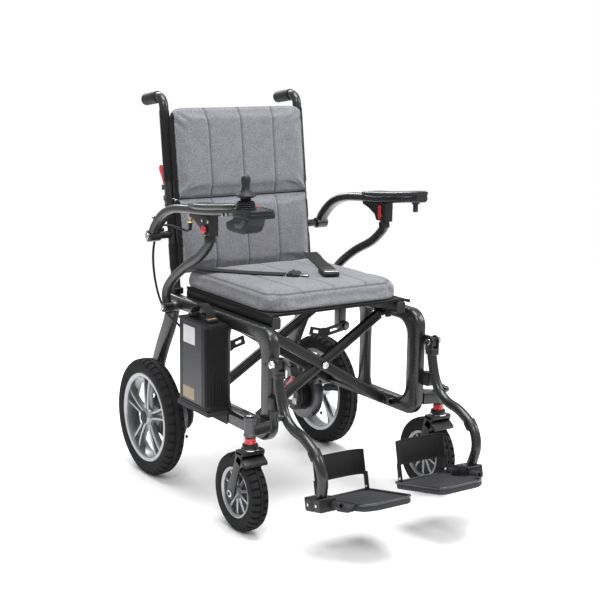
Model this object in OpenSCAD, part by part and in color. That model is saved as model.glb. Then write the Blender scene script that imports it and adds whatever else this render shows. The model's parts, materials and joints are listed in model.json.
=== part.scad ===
// Folding power wheelchair with a carbon X-frame, hub-side motors and a side battery.
// Every sub-part is drawn for the user's left side, measured from the rear axle, and
// placed() moves it into the chair's frame and mirrors it for the right side.

/* [Wheels] */
// Diameter of the driven rear wheels
rear_wheel_d = 310; // [270:1:380]
// Width of the rear tyres
rear_tyre_w = 50; // [36:1:60]
// Diameter of the rear rims at the tyre seat
rear_rim_d = 238; // [190:1:250]
// Distance between the middle planes of the rear wheels
rear_track = 546; // [520:1:640]
// Diameter of the front casters
caster_d = 190; // [150:1:230]
// Width of the caster tyres
caster_tyre_w = 46; // [36:1:56]
// Diameter of the caster rims at the tyre seat
caster_rim_d = 124; // [100:1:130]
// Distance between the caster stems
caster_track = 558; // [540:1:660]
// Distance from the rear axle to the caster axles
wheelbase = 477; // [400:1:560]
// Distance that a caster axle trails behind its stem
caster_trail = 38; // [30:1:50]

/* [Frame] */
// Distance between the middle planes of the side frames
frame_spread = 430; // [400:1:450]
// Distance of the uprights' front faces ahead of the rear axle
frame_front = 520; // [500:1:600]
// Width of the frame tube across the chair
tube_w = 30; // [24:1:34]
// Height of the top rail's section
top_rail_h = 34; // [28:1:40]
// Height of the bottom rail's section
bottom_rail_h = 36; // [30:1:44]
// Depth of the front upright's section
upright_d = 46; // [36:1:56]
// Height of the top rail's middle above the bottom rail's
rail_rise = 238; // [200:1:290]

/* [Seat] */
// Width of the seat cushion
seat_w = 410; // [360:1:440]
// Length of the seat cushion from front to back
seat_l = 416; // [380:1:430]
// Thickness of the seat cushion
seat_t = 50; // [35:1:60]

/* [Back] */
// Lean of the back posts from upright, in degrees
back_lean = 7.8; // [4:0.1:14]
// Height of the back fold's hinge above the top of the frame
back_hinge_rise = 242; // [200:1:290]
// Height of the posts' bend above the back fold's hinge
post_rise = 235; // [190:1:270]
// Diameter of the back posts
post_d = 24; // [20:0.5:26]
// Thickness of the back cushion
back_t = 24; // [18:1:30]
// Length of the push grips
grip_l = 76; // [60:1:110]

/* [Armrests] */
// Distance between the middle planes of the armrests
arm_spread = 520; // [510:1:560]
// Height of the armrests' hinge above the top of the frame
arm_hinge_rise = 151; // [130:1:180]
// Length of the armrests ahead of their hinge
arm_l = 450; // [380:1:470]

/* [Footrests] */
// Width of a footplate
plate_w = 160; // [120:1:165]
// Upward tilt of the footplates' toes, in degrees
plate_tilt = 12; // [0:1:20]
// Thickness of a footplate
plate_t = 16; // [10:1:20]

/* [Battery] */
// Height of the battery case
battery_h = 216; // [180:1:250]
// Length of the battery case from front to back
battery_l = 148; // [120:1:165]
// Thickness of the battery case
battery_t = 56; // [40:1:60]

/* [Joystick] */
// Length of the joystick housing from front to back
joy_l = 84; // [70:1:100]
// Width of the joystick housing
joy_w = 72; // [60:1:90]

/* [Fits] */
// Radial clearance of pins and shafts in their bores
fit = 0.05; // [0.02:0.01:0.1]
// Gap between bodies that pass each other
gap = 0.3; // [0.2:0.1:1]

/* [Hidden] */
$fn = 64;
LEFT = 1;
RIGHT = -1;

// Wheels and casters
axle_z = rear_wheel_d / 2;
rear_x = rear_track / 2;
caster_x = caster_track / 2;
caster_z = caster_d / 2;
stem_y = -wheelbase - caster_trail;
tyre_gap = 7;
crown_z = caster_d + tyre_gap;
crown_t = 12;
cup_h = 13;
collar_h = 18;
stem_r = 8;
housing_r = 16;
housing_z = crown_z + crown_t + cup_h + collar_h;
housing_h = 46;
leg_t = 5;
leg_x = caster_tyre_w / 2 + 3.5;
caster_axle_r = 6;
wheel_in = rear_x - rear_tyre_w / 2;
wheel_gap = 4;

// Motors
motor_r = 49;
motor_in = 165;
bracket_r = 75;
shaft_r = 8;
lever_z = axle_z + 26;

// Frame
frame_x = frame_spread / 2;
frame_in = frame_x - tube_w / 2;
frame_out = frame_x + tube_w / 2;
bottom_z = housing_z - 10;
top_z = bottom_z + rail_rise;
top_face = top_z + top_rail_h / 2;
top_under = top_z - top_rail_h / 2;
bottom_face = bottom_z + bottom_rail_h / 2;
bottom_under = bottom_z - bottom_rail_h / 2;
bottom_rear = -135;
// Middle of the rear struts' lower end on the motor brackets
strut_foot_y = 78;
strut_foot_z = 214;
pivot_r = 6;

// Back: the posts lean back from the rear end of the top rail
lean = tan(back_lean);
post_r = post_d / 2;
post_x = frame_in + 5;
post_foot_y = -20;
back_hinge_z = top_face + back_hinge_rise;
bend_z = back_hinge_z + post_rise;
bend_r = 28;
grip_rise = -8;
grip_r = 16;
knuckle_h = 22;
knuckle_r = 7;
tube_r = post_r - 1;
function post_y(z) = post_foot_y + (z - top_face) * lean;
function pad_y(z) = post_y(z) - post_r - 1 - back_t;
back_hinge_y = post_y(back_hinge_z) + post_r + 4;
latch_y = post_r + 6;
latch_z = back_hinge_z + 30;
bend_y = post_y(bend_z);
// End of the bend, where the straight part inside the grip starts
grip_y = bend_y + bend_r * (cos(back_lean) - sin(grip_rise));
grip_z = bend_z + bend_r * (cos(grip_rise) - sin(back_lean));

// Braces: two crossed pairs of bars between the bottom rails and the seat rails
brace_x = frame_in - 12;
brace_low_z = bottom_z + 4;
rail_w = 26;
rail_h = 30;
seat_rail_x = frame_in - 3 - rail_w / 2;
seat_rail_z = top_z + 19;
seat_rail_low = seat_rail_z - rail_h / 2;
brace_top_z = seat_rail_low - 10;
brace_top_x = seat_rail_x;
bar_t = 13;
bar_w = 26;
bar_gap = 1;
brace_angle = atan2(brace_top_z - brace_low_z, brace_x + brace_top_x);
brace_l = (brace_top_z - brace_low_z) / sin(brace_angle);
cross_z = brace_low_z + brace_x * tan(brace_angle);
front_cross_y = -397;
rear_cross_y = -162;
brace_front = -426;
brace_rear = -136;
hinge_r = 10;
pin_r = 5;

// Seat
rail_front = -474;
seat_front = -471;
sling_t = 5;
sling_z = seat_rail_z + rail_h / 2 + gap;
seat_z = sling_z + sling_t + gap;

// Armrests
arm_x = arm_spread / 2;
arm_hinge_z = top_face + arm_hinge_rise;
arm_hinge_y = post_y(arm_hinge_z);
arm_t = 22;
arm_w = 34;
arm_rise = 118;
link_r = 12;
link_foot_y = -72;
link_foot_z = top_z - 5;
link_top_y = -294;
link_top_z = arm_hinge_z + 40;
button_z = link_top_z + 16;
// Peg under the armrest's front that takes a controller
peg_y = arm_hinge_y - 422;
peg_z = arm_hinge_z + 80;
peg_l = 20;
peg_r = 6.5;
// Socket of the joystick's cable under the right armrest
socket_x = arm_x + 2;
socket_y = -200;
socket_z = arm_hinge_z + 59;

// Footrests
hanger_x = frame_x + 10;
hanger_r = 12;
hanger_y = -frame_front - 28;
hanger_z = top_z - 56;
// Half width of the hinge tongue between the hanger's cheeks
tongue = 6;
plate_x = frame_in;
plate_y = -frame_front - 192;
plate_z = 124;
plate_pin_y = 48;
// Length of a footplate ahead of its hinge's middle
plate_toe = 118;
block_half = 32;
ear_r = 9;

// Battery
battery_x = frame_out + 3;
battery_front = -335;
battery_z = bottom_face + 2;
dock_rear = battery_front + battery_l + 8;

// Joystick
joy_x = arm_x + 26;
joy_front = -520;
joy_top = 763;
joy_block = 20;
joy_rear = joy_front + joy_l;
stick_x = arm_x + 2;
stick_y = -460;
stick_pivot_z = joy_top - 6;

// Guide links between the rear braces and the stub tubes under the top rails
stub_y = -173;
stub_low = top_under - 68;
stub_half = 15;
link_t = 6;
guide_x = frame_in + 14;
guide_y = stub_y - stub_half - gap - link_t;

// Route of the joystick's cable on the right side, from its socket to the battery dock
cable_r = 3;
cable_points = [
    [socket_x, socket_y, socket_z - gap], [socket_x, socket_y + 3, socket_z - 12], [258, -176, 672], [250, -140, 670], [240, -80, 668],
    [232, -20, 664], [231, 22, 654], [236, 40, 620], [240, 44, 570], [239, 34, 510],
    [238, 8, 462], [238, -30, 434], [238, -80, 420], [240, -120, 408], [250, -150, 402],
    [256, dock_rear + 12, 400], [256, dock_rear + 0.4, 400]
];

// ---- helpers ----

// Moves a sub-part from the rear axle's origin into the chair's frame, on one side
overall_front = -plate_y + plate_toe * cos(plate_tilt) + plate_t * sin(plate_tilt);
overall_rear = grip_y + grip_l * cos(grip_rise) + grip_r * abs(sin(grip_rise));
axle_y = (overall_front - overall_rear) / 2;
module placed(side = LEFT) {
    translate([0, axle_y, 0]) mirror([side == RIGHT ? 1 : 0, 0, 0]) children();
}

// Extrudes an outline drawn in the side plane (y, z) from x to x + w
module side_plate(x, w) {
    translate([x, 0, 0]) rotate([90, 0, 90]) linear_extrude(w) children();
}

// Cylinder along X from x to x + l, at (y, z)
module rod_x(x, y, z, l, r) {
    translate([x, y, z]) rotate([0, 90, 0]) cylinder(h = l, r = r);
}

// Cylinder along Y from y to y + l, at (x, z)
module rod_y(x, y, z, l, r) {
    translate([x, y, z]) rotate([-90, 0, 0]) cylinder(h = l, r = r);
}

// Box between two corners
module span(a, b) {
    translate(a) cube(b - a);
}

// Turns a lathe profile (radius, along) about the X axis
module turned_x(x, y, z) {
    translate([x, y, z]) rotate([0, 90, 0]) rotate_extrude() children();
}

// Points of an arc about c
function arc(c, r, from, to, n = 6) =
    [for (i = [0:n]) c + r * [cos(from + (to - from) * i / n), sin(from + (to - from) * i / n)]];

// Point of a Catmull-Rom curve between b and c at t
function blend(a, b, c, d, t) =
    0.5 * (2 * b + (c - a) * t + (2 * a - 5 * b + 4 * c - d) * t * t
        + (3 * b - a - 3 * c + d) * t * t * t);

// Smooth curve through hand-chosen points, n steps between two of them
function curve(p, n = 3) = let (m = len(p) - 1)
    [for (i = [0:m - 1], j = [0:n - 1])
        blend(p[max(i - 1, 0)], p[i], p[i + 1], p[min(i + 2, m)], j / n), p[m]];

// Unit direction of a polyline at its point i
function heading(p, i) = let (d = p[min(i + 1, len(p) - 1)] - p[max(i - 1, 0)]) d / norm(d);

// Outline of a band of width w along a 2D polyline
module band(p, w) {
    left = [for (i = [0:len(p) - 1]) let (d = heading(p, i)) p[i] + w / 2 * [-d[1], d[0]]];
    right = [for (i = [len(p) - 1:-1:0]) let (d = heading(p, i)) p[i] - w / 2 * [-d[1], d[0]]];
    polygon(concat(left, right));
}

// Round tube along a 3D polyline
module swept_tube(p, r, sides = 12) {
    n = len(p);
    rings = [for (i = [0:n - 1]) let (
        d = heading(p, i),
        u = let (c = cross(d, [1, 0, 0])) norm(c) > 0.2 ? c / norm(c) : cross(d, [0, 0, 1]),
        v = cross(d, u)
    ) for (k = [0:sides - 1]) p[i] + r * (cos(360 * k / sides) * u + sin(360 * k / sides) * v)];
    walls = [for (i = [0:n - 2], k = [0:sides - 1])
        [i * sides + k, (i + 1) * sides + k,
         (i + 1) * sides + (k + 1) % sides, i * sides + (k + 1) % sides]];
    polyhedron(rings, concat([[for (k = [0:sides - 1]) k]], walls,
        [[for (k = [sides - 1:-1:0]) (n - 1) * sides + k]]));
}

// ---- frame ----

// Outline of a side frame: top rail, front upright and bottom rail in one C
function frame_outline() = let (ro = 44, ri = 38, f = -frame_front, g = -frame_front + upright_d)
    concat(
        [[0, top_face]],
        arc([f + ro, top_face - ro], ro, 90, 180),
        arc([f + ro, bottom_under + ro], ro, 180, 270),
        [[bottom_rear, bottom_under], [bottom_rear, bottom_face]],
        arc([g + ri, bottom_face + ri], ri, 270, 180),
        arc([g + ri, top_under - ri], ri, 180, 90),
        [[0, top_under]]
    );

module side_frame(side) {
    lug_w = 8;
    color("#202124") placed(side) {
        difference() {
            union() {
                side_plate(frame_in, tube_w) polygon(frame_outline());
                // stay between the rails, and the guide link's stub tube
                span([frame_x - 9, -306, bottom_face - 1], [frame_x + 9, -264, top_under + 1]);
                span([frame_in, stub_y - stub_half, stub_low - 12],
                    [frame_in + 22, stub_y + stub_half, top_under + 1]);
                rod_y(guide_x, guide_y - 2, stub_low, stub_half, pin_r);
                rod_y(guide_x, guide_y - 3, stub_low, 3 - gap, 9);
                // gusset and stem housing of the caster
                translate([0, 0, housing_z]) linear_extrude(32) polygon([
                    [frame_out - 2, stem_y + 55], [frame_out - 2, stem_y - 4],
                    [caster_x, stem_y - 14], [caster_x, stem_y + 14]
                ]);
                translate([caster_x, stem_y, housing_z]) cylinder(h = housing_h, r = housing_r);
                // hinge lugs and pin of the cross brace
                for (y = [brace_front - lug_w - gap, brace_rear + gap])
                    span([brace_x - 9, y, brace_low_z - 9], [frame_in + 1, y + lug_w, brace_low_z + 9]);
                // hinge block and stop block of the footrest
                span([hanger_x - tongue, hanger_y - 11, hanger_z - 11],
                    [hanger_x + tongue, 1 - frame_front, hanger_z + 11]);
                span([hanger_x - 11, -frame_front - 27, hanger_z - 116],
                    [hanger_x + 11, 1 - frame_front, hanger_z - 80]);
                // boss of the arm link
                rod_x(frame_out - 1, link_foot_y, link_foot_z, arm_x - link_r - frame_out + 1, 14);
            }
            translate([caster_x, stem_y, 0]) cylinder(h = 2 * top_z, r = stem_r + fit);
        }
        rod_y(brace_x, brace_front - lug_w, brace_low_z, brace_rear - brace_front + 2 * lug_w, pivot_r);
        rod_x(hanger_x - 22, hanger_y, hanger_z, 44, pivot_r);
    }
}

// Strut from the rear end of the top rail down to the motor bracket
module rear_strut(side) {
    path = curve([[-26, top_z + 10], [-20, top_under], [2, top_under - 56], [40, top_under - 120],
        [68, top_under - 178], [strut_foot_y, strut_foot_z + 6], [strut_foot_y, strut_foot_z - 24]]);
    color("#242528") placed(side) {
        difference() {
            side_plate(frame_in + 2, tube_w - 4) band(path, 46);
            span([frame_in, -90, top_under], [frame_out, 90, top_face + 20]);
            span([frame_in, 0, 100], [frame_out, 140, strut_foot_z]);
        }
        rod_x(frame_out - 3, -21, top_under - 16, 5, 9);
    }
}

// Motor bracket: a ring round the motor's underside with arms to the rail and the strut
module motor_bracket(side) {
    color("#5b5d61") placed(side) difference() {
        side_plate(frame_in + 2, tube_w - 4) polygon(concat(
            arc([0, axle_z], bracket_r, 150, 390, 24),
            [[strut_foot_y + 23, strut_foot_z], [strut_foot_y - 23, strut_foot_z], [22, axle_z + 39],
                [-40, axle_z + 40], [bottom_rear, bottom_face], [bottom_rear, bottom_under]]
        ));
        rod_x(frame_in - 1, 0, axle_z, tube_w + 2, motor_r + gap);
        // open top of the ring
        span([frame_in - 1, -30, axle_z + 20], [frame_out + 1, 54, axle_z + 80]);
    }
}

// Gear motor with its flange and its end cap
module motor(side) {
    color("#1b1c1e") placed(side) difference() {
        union() {
            rod_x(motor_in + 6, 0, axle_z, frame_out + gap - motor_in - 6, motor_r);
            rod_x(motor_in, 0, axle_z, 7, motor_r - 5);
            rod_x(frame_out + gap, 0, axle_z, wheel_in - wheel_gap - frame_out - gap, motor_r + 7);
        }
        rod_x(frame_in, 0, axle_z, 100, shaft_r + fit);
        rod_x(motor_in - 1, 0, lever_z, 12, 4 + fit);
    }
}

// Lever on the motor's end cap that frees the drive for pushing
module clutch_lever(side) {
    color("#b3212e") placed(side) {
        rod_x(motor_in - 7, 0, lever_z, 16, 4);
        rod_x(motor_in - 7, 0, lever_z, 6.5, 8);
        translate([motor_in - 7, 0, lever_z]) rotate([40, 0, 0]) translate([0, -5, 0])
            cube([5, 10, 32]);
    }
}

// ---- wheels ----

// Rear rim with five double spokes, its hub cap and the drive shaft
module rear_rim(side) {
    rim_r = rear_rim_d / 2;
    spoke_w = 9;
    color("#9a9c9f") placed(side) {
        difference() {
            union() {
                turned_x(rear_x, 0, axle_z)
                    polygon([[rim_r - 13, -19], [rim_r, -22], [rim_r, 22], [rim_r - 13, 19]]);
                rod_x(wheel_in, 0, axle_z, rear_tyre_w, 24);
                for (a = [0:72:359], s = [-1, 1])
                    translate([rear_x - 11, 0, axle_z]) rotate([a, 0, 0]) translate([0, s * 9 - spoke_w / 2, 18])
                        cube([22, spoke_w, rim_r - 26]);
            }
            rod_x(wheel_in - 1, 0, axle_z, rear_tyre_w - 10, shaft_r);
        }
        rod_x(frame_in + 14, 0, axle_z, wheel_in + rear_tyre_w - 12 - frame_in - 14, shaft_r);
    }
}

module rear_tyre(side) {
    w = rear_tyre_w / 2;
    in = rear_rim_d / 2 + 0.1;
    out = rear_wheel_d / 2;
    color("#2b2b2d") placed(side) turned_x(rear_x, 0, axle_z)
        polygon([[in, -w + 4], [in + 6, -w], [out - 14, -w], [out - 4, -w + 9], [out, -w + 17],
            [out, w - 17], [out - 4, w - 9], [out - 14, w], [in + 6, w], [in, w - 4]]);
}

// Caster fork: crown, cup and collar, two legs, front guard and the wheel's axle
module caster_fork(side) {
    leg = [[stem_y - 2, crown_z + crown_t / 2], [stem_y + 6, crown_z - 28], [stem_y + 20, caster_z + 48],
        [stem_y + caster_trail, caster_z - 12]];
    color("#1a1b1d") placed(side) {
        translate([caster_x, stem_y, crown_z + 2]) cylinder(h = housing_z + housing_h + 3 - crown_z, r = stem_r);
        translate([caster_x, stem_y, housing_z + housing_h + gap]) cylinder(h = 7, r = 11);
        translate([caster_x, stem_y, crown_z]) cylinder(h = crown_t + cup_h, r = 19);
        translate([caster_x, stem_y, crown_z + crown_t]) cylinder(h = cup_h + collar_h - gap, r = 11.5);
        span([caster_x - leg_x - leg_t, stem_y - 16, crown_z], [caster_x + leg_x + leg_t, stem_y + 16, crown_z + crown_t]);
        for (s = [-1, 1]) side_plate(caster_x + s * (leg_x + leg_t / 2) - leg_t / 2, leg_t) band(leg, 27);
        // front guard, concentric with the wheel
        side_plate(caster_x - leg_x - leg_t, 2 * (leg_x + leg_t)) polygon(concat(
            arc([-wheelbase, caster_z], caster_z + tyre_gap + 6, 112, 130),
            arc([-wheelbase, caster_z], caster_z + tyre_gap, 130, 112)
        ));
        rod_x(caster_x - leg_x - leg_t - 3, -wheelbase, caster_z, 2 * (leg_x + leg_t + 3), caster_axle_r);
        for (s = [-1, 1]) rod_x(caster_x + s * (leg_x + leg_t + 1.5) - 1.5, -wheelbase, caster_z, 3, 9);
    }
}

module caster_rim(side) {
    rim_r = caster_rim_d / 2;
    w = caster_tyre_w / 2;
    color("#a4a6a8") placed(side) difference() {
        union() {
            turned_x(caster_x, -wheelbase, caster_z)
                polygon([[rim_r - 9, -w + 6], [rim_r, -w + 3], [rim_r, w - 3], [rim_r - 9, w - 6]]);
            rod_x(caster_x - 9, -wheelbase, caster_z, 18, rim_r - 4);
            rod_x(caster_x - w, -wheelbase, caster_z, 2 * w, 14);
        }
        rod_x(caster_x - w - 1, -wheelbase, caster_z, 2 * w + 2, caster_axle_r + fit);
        for (a = [0:36:359]) translate([caster_x - 12, -wheelbase, caster_z]) rotate([a, 0, 0])
            translate([0, -2, 20]) cube([24, 4, rim_r - 36]);
    }
}

module caster_tyre(side) {
    w = caster_tyre_w / 2;
    in = caster_rim_d / 2 + 0.1;
    out = caster_d / 2;
    color("#2b2b2d") placed(side) turned_x(caster_x, -wheelbase, caster_z)
        polygon([[in, -w + 4], [in + 5, -w], [out - 12, -w], [out - 3, -w + 8], [out, -w + 14],
            [out, w - 14], [out - 3, w - 8], [out - 12, w], [in + 5, w], [in, w - 4]]);
}

// ---- back ----

// Straight post between two heights along the back's lean, cut level at both
module leaning_post(x, z0, z1, r) {
    intersection() {
        translate([x, post_y(z0), z0]) rotate([-back_lean, 0, 0]) translate([0, 0, -20])
            cylinder(h = (z1 - z0) / cos(back_lean) + 40, r = r);
        span([x - 40, -200, z0], [x + 40, 200, z1]);
    }
}

// Moves a sub-part drawn about the back latch's pivot onto the leaning post
module latch_placed() {
    translate([post_x, post_y(latch_z), latch_z]) rotate([-back_lean, 0, 0]) children();
}

module back_post(side) {
    color("#1f2022") placed(side) difference() {
        union() {
            leaning_post(post_x, top_face, back_hinge_z - gap, post_r);
            span([post_x - 9, post_y(back_hinge_z) - 4, back_hinge_z - knuckle_h],
                [post_x + 9, back_hinge_y, back_hinge_z - gap]);
            rod_x(post_x - 3.5, back_hinge_y, back_hinge_z, 7, knuckle_r);
            // armrest pivot
            rod_x(post_x, arm_hinge_y, arm_hinge_z, arm_x - arm_w / 2 - gap - post_x, 10);
            rod_x(post_x, arm_hinge_y, arm_hinge_z, arm_x + arm_w / 2 - post_x + 2, pivot_r);
        }
        rod_x(post_x - 12, back_hinge_y, back_hinge_z, 24, 3 + fit);
        for (s = [-1, 1]) rod_x(post_x + s * 6.5 - 3, back_hinge_y, back_hinge_z, 6, knuckle_r + 0.5);
    }
}

module upper_post(side) {
    color("#1f2022") placed(side) {
        difference() {
            union() {
                leaning_post(post_x, back_hinge_z, bend_z, post_r);
                span([post_x - 9, post_y(back_hinge_z) - 4, back_hinge_z],
                    [post_x + 9, back_hinge_y, back_hinge_z + knuckle_h]);
            }
            rod_x(post_x - 4, back_hinge_y, back_hinge_z, 8, knuckle_r + 0.5);
        }
        for (s = [-1, 1]) rod_x(post_x + s * 6.5 - 2.5, back_hinge_y, back_hinge_z, 5, knuckle_r);
        rod_x(post_x - 11, back_hinge_y, back_hinge_z, 22, 3);
        // bend and the straight part inside the grip
        translate([post_x, bend_y + bend_r * cos(back_lean), bend_z - bend_r * sin(back_lean)])
            rotate([90, 0, 90]) rotate([0, 0, 90 + grip_rise])
            rotate_extrude(angle = 90 - grip_rise - back_lean + 6) translate([bend_r, 0]) circle(tube_r);
        translate([post_x, grip_y, grip_z]) rotate([grip_rise - 90, 0, 0]) cylinder(h = grip_l - 4, r = tube_r);
        if (side == RIGHT) latch_placed() {
            for (s = [-1, 1]) span([s * 9 - 2, 0, -7], [s * 9 + 2, latch_y + 5, 7]);
            rod_x(-10, latch_y, 0, 20, 3);
        }
    }
}

module push_grip(side) {
    color("#3a3b3d") placed(side) translate([post_x, grip_y, grip_z]) rotate([grip_rise - 90, 0, 0])
        difference() {
            cylinder(h = grip_l, r = grip_r);
            translate([0, 0, -1]) cylinder(h = grip_l - 2.5, r = tube_r + 0.02);
        }
}

// Lever behind the right post that releases the back fold
module back_latch() {
    color("#c1272d") placed(RIGHT) latch_placed() difference() {
        union() {
            rod_x(-6.5, latch_y, 0, 13, 5);
            side_plate(-6.5, 13) polygon([
                [latch_y - 4, 0], [latch_y + 4, 0], [latch_y + 7, 14], [latch_y + 14, 30], [latch_y + 22, 42],
                [latch_y + 24, 52], [latch_y + 20, 59], [latch_y + 10, 61], [latch_y + 1, 54], [latch_y - 3, 38]
            ]);
        }
        rod_x(-7, latch_y, 0, 14, 3 + fit);
    }
}

// Slab between two heights of the back, on the front of the posts
module back_pad(z0, z1) {
    side_plate(-seat_w / 2, seat_w) polygon([
        [pad_y(z0), z0], [pad_y(z0) + back_t, z0], [pad_y(z1) + back_t, z1], [pad_y(z1), z1]
    ]);
}

module back_cushion_lower() {
    color("#77787d") placed() back_pad(seat_z + 36, back_hinge_z - 1.5);
}

module back_cushion_upper() {
    color("#77787d") placed() back_pad(back_hinge_z + 1.5, bend_z + 29);
}

// ---- seat and braces ----

module seat_rail(side) {
    color("#1f2022") placed(side) {
        span([seat_rail_x - rail_w / 2, rail_front, seat_rail_low],
            [seat_rail_x + rail_w / 2, rail_front + seat_l, seat_rail_low + rail_h]);
        // lugs and pins of the brace ends
        for (y = [front_cross_y, rear_cross_y]) {
            for (s = [-1, 1]) span([brace_top_x - 8, y + s * 23 - 4, brace_top_z - 8],
                [brace_top_x + 8, y + s * 23 + 4, seat_rail_low + 1]);
            rod_y(brace_top_x, y - 20, brace_top_z, 40, pin_r);
        }
    }
}

module seat_sling() {
    color("#121213") placed()
        span([-seat_w / 2 + 8, seat_front + 6, sling_z], [seat_w / 2 - 8, seat_front + seat_l - 6, sling_z + sling_t]);
}

module seat_cushion() {
    w = seat_w / 2;
    r = 34;
    color("#7c7d82") placed() translate([0, 0, seat_z]) linear_extrude(seat_t) polygon(concat(
        arc([-w + r, seat_front + r], r, 180, 270),
        arc([w - r, seat_front + r], r, 270, 360),
        [[w, seat_front + seat_l], [-w, seat_front + seat_l]]
    ));
}

// One bar of the cross from the bottom pivot on the given side to the opposite seat rail,
// with its hinge eyes; y is the bar's middle
module brace_bar(side, y) {
    translate([-side * brace_x, 0, brace_low_z]) rotate([0, -side * brace_angle + (side < 0 ? 180 : 0), 0])
        span([hinge_r - 2, y - bar_t / 2, -bar_w / 2], [brace_l - hinge_r + 2, y + bar_t / 2, bar_w / 2]);
}

// Brace with one bar in the front cross and one in the rear cross, and its hinge tube;
// side is the side of its seat rail
module brace(side, y_shift) {
    y0 = y_shift * (bar_t + bar_gap) / 2;
    difference() {
        union() {
            for (y = [front_cross_y + y0, rear_cross_y + y0]) {
                brace_bar(side, y);
                rod_y(side * brace_top_x, y - bar_t / 2, brace_top_z, bar_t, hinge_r);
            }
            rod_y(-side * brace_x, brace_front, brace_low_z, brace_rear - brace_front, hinge_r + 1);
        }
        rod_y(-side * brace_x, brace_front - 1, brace_low_z, brace_rear - brace_front + 2, pivot_r + fit);
        for (y = [front_cross_y + y0, rear_cross_y + y0]) {
            rod_y(side * brace_top_x, y - bar_t, brace_top_z, 2 * bar_t, pin_r + fit);
            rod_y(0, y - bar_t, cross_z, 2 * bar_t, pin_r + fit);
        }
    }
}

// Brace that carries the right seat rail and hinges on the left side frame
module brace_a() {
    color("#151617") placed() brace(RIGHT, -1);
}

// Brace that carries the left seat rail and hinges on the right side frame, with the
// pivot bolts of both crosses
module brace_b() {
    reach = bar_t + bar_gap / 2;
    color("#18191a") placed() {
        brace(LEFT, 1);
        for (y = [front_cross_y, rear_cross_y]) {
            rod_y(0, y - reach - 3, cross_z, 2 * reach + 3, pin_r);
            rod_y(0, y - reach - 4, cross_z, 4 - gap, 9);
            rod_y(0, y + reach, cross_z, 4, 9);
        }
    }
}

// Slotted link from the stub tube under the top rail towards the rear cross
module guide_link(side) {
    eye = [0, 0];
    hub = [-69, -12];
    tip = [-112, -1];
    color("#1a1b1c") placed(side) translate([guide_x, guide_y + link_t, stub_low]) rotate([90, 0, 0])
        difference() {
            union() {
                linear_extrude(link_t) band([eye, hub], 22);
                linear_extrude(link_t) band([hub, tip], 22);
                translate(hub) cylinder(h = link_t, r = 14);
                cylinder(h = link_t, r = 13);
            }
            for (slot = [[[-20, -3.5], [-50, -8.7]], [[-85, -8], [-104, -3.1]]])
                translate([0, 0, -1]) linear_extrude(link_t + 2) band(slot, 8);
            translate([0, 0, -1]) cylinder(h = link_t + 2, r = pin_r + fit);
        }
}

// ---- armrests ----

function arm_path() = curve([
    [arm_hinge_y + 2, arm_hinge_z - 4], [arm_hinge_y - 16, arm_hinge_z + 26],
    [arm_hinge_y - 60, arm_hinge_z + 62], [arm_hinge_y - 120, arm_hinge_z + 84],
    [arm_hinge_y - 200, arm_hinge_z + 92], [arm_hinge_y - 0.64 * arm_l, arm_hinge_z + 97],
    [arm_hinge_y - 0.82 * arm_l, arm_hinge_z + 106], [arm_hinge_y - arm_l, arm_hinge_z + arm_rise]
], 3);

module arm_rest(side) {
    pad = [for (p = arm_path()) if (p[0] < -230) p + [0, arm_t / 2 + 3]];
    color("#26272a") placed(side) difference() {
        union() {
            side_plate(arm_x - arm_w / 2, arm_w) band(arm_path(), arm_t);
            side_plate(arm_x - 27, 54) band(pad, 8);
            rod_x(arm_x - arm_w / 2, arm_hinge_y, arm_hinge_z, arm_w, 15);
            // latch bracket that takes the arm link's upper end
            side_plate(arm_x - 13, 26) polygon([
                [link_top_y - 20, link_top_z + gap], [link_top_y + 22, link_top_z + gap],
                [link_top_y + 30, link_top_z + 18], [link_top_y + 56, link_top_z + 30], [link_top_y + 84, link_top_z + 38],
                [link_top_y + 84, arm_hinge_z + 92], [link_top_y - 20, arm_hinge_z + 92]
            ]);
            translate([arm_x, peg_y, peg_z]) cylinder(h = peg_l + 10, r = peg_r);
            translate([arm_x, peg_y, peg_z + peg_l]) cylinder(h = 10, r = peg_r + 3.5);
            if (side == RIGHT) translate([socket_x, socket_y, socket_z]) cylinder(h = 28, r = 8);
        }
        // the right armrest ends at the joystick's housing
        if (side == RIGHT)
            span([arm_x - 40, -600, arm_hinge_z + 86], [arm_x + 40, joy_rear + gap, arm_hinge_z + 200]);
        rod_x(arm_x - arm_w, arm_hinge_y, arm_hinge_z, 2 * arm_w, pivot_r + fit);
        rod_x(arm_x - 30, link_top_y + 2, button_z, 60, 7 + fit);
    }
}

// Button through the latch bracket that frees the armrest
module arm_button(side) {
    color("#d0202b") placed(side) {
        rod_x(arm_x - 13, link_top_y + 2, button_z, 30, 7);
        rod_x(arm_x + 17, link_top_y + 2, button_z, 3, 10);
    }
}

// S-shaped tube that carries the armrest's front on the side frame
module arm_link(side) {
    path = curve([[link_foot_y, link_foot_z], [-68, top_face + 16], [-100, top_face + 52],
        [-166, top_face + 95], [-240, top_face + 131], [-282, link_top_z - 28],
        [link_top_y, link_top_z + 6]], 3);
    color("#1d1e20") placed(side) {
        intersection() {
            side_plate(arm_x - link_r, 2 * link_r) band(path, 2 * link_r);
            span([0, -400, 0], [400, 100, link_top_z]);
        }
        rod_x(arm_x - link_r, link_foot_y, link_foot_z, 2 * link_r, 14);
        rod_x(arm_x + link_r, link_foot_y, link_foot_z, 4, 7);
    }
}

// ---- footrests ----

// Moves a sub-part drawn about the footplate's hinge into place
module foot_placed() {
    translate([plate_x, plate_y, plate_z]) rotate([-plate_tilt, 0, 0]) children();
}

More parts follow.
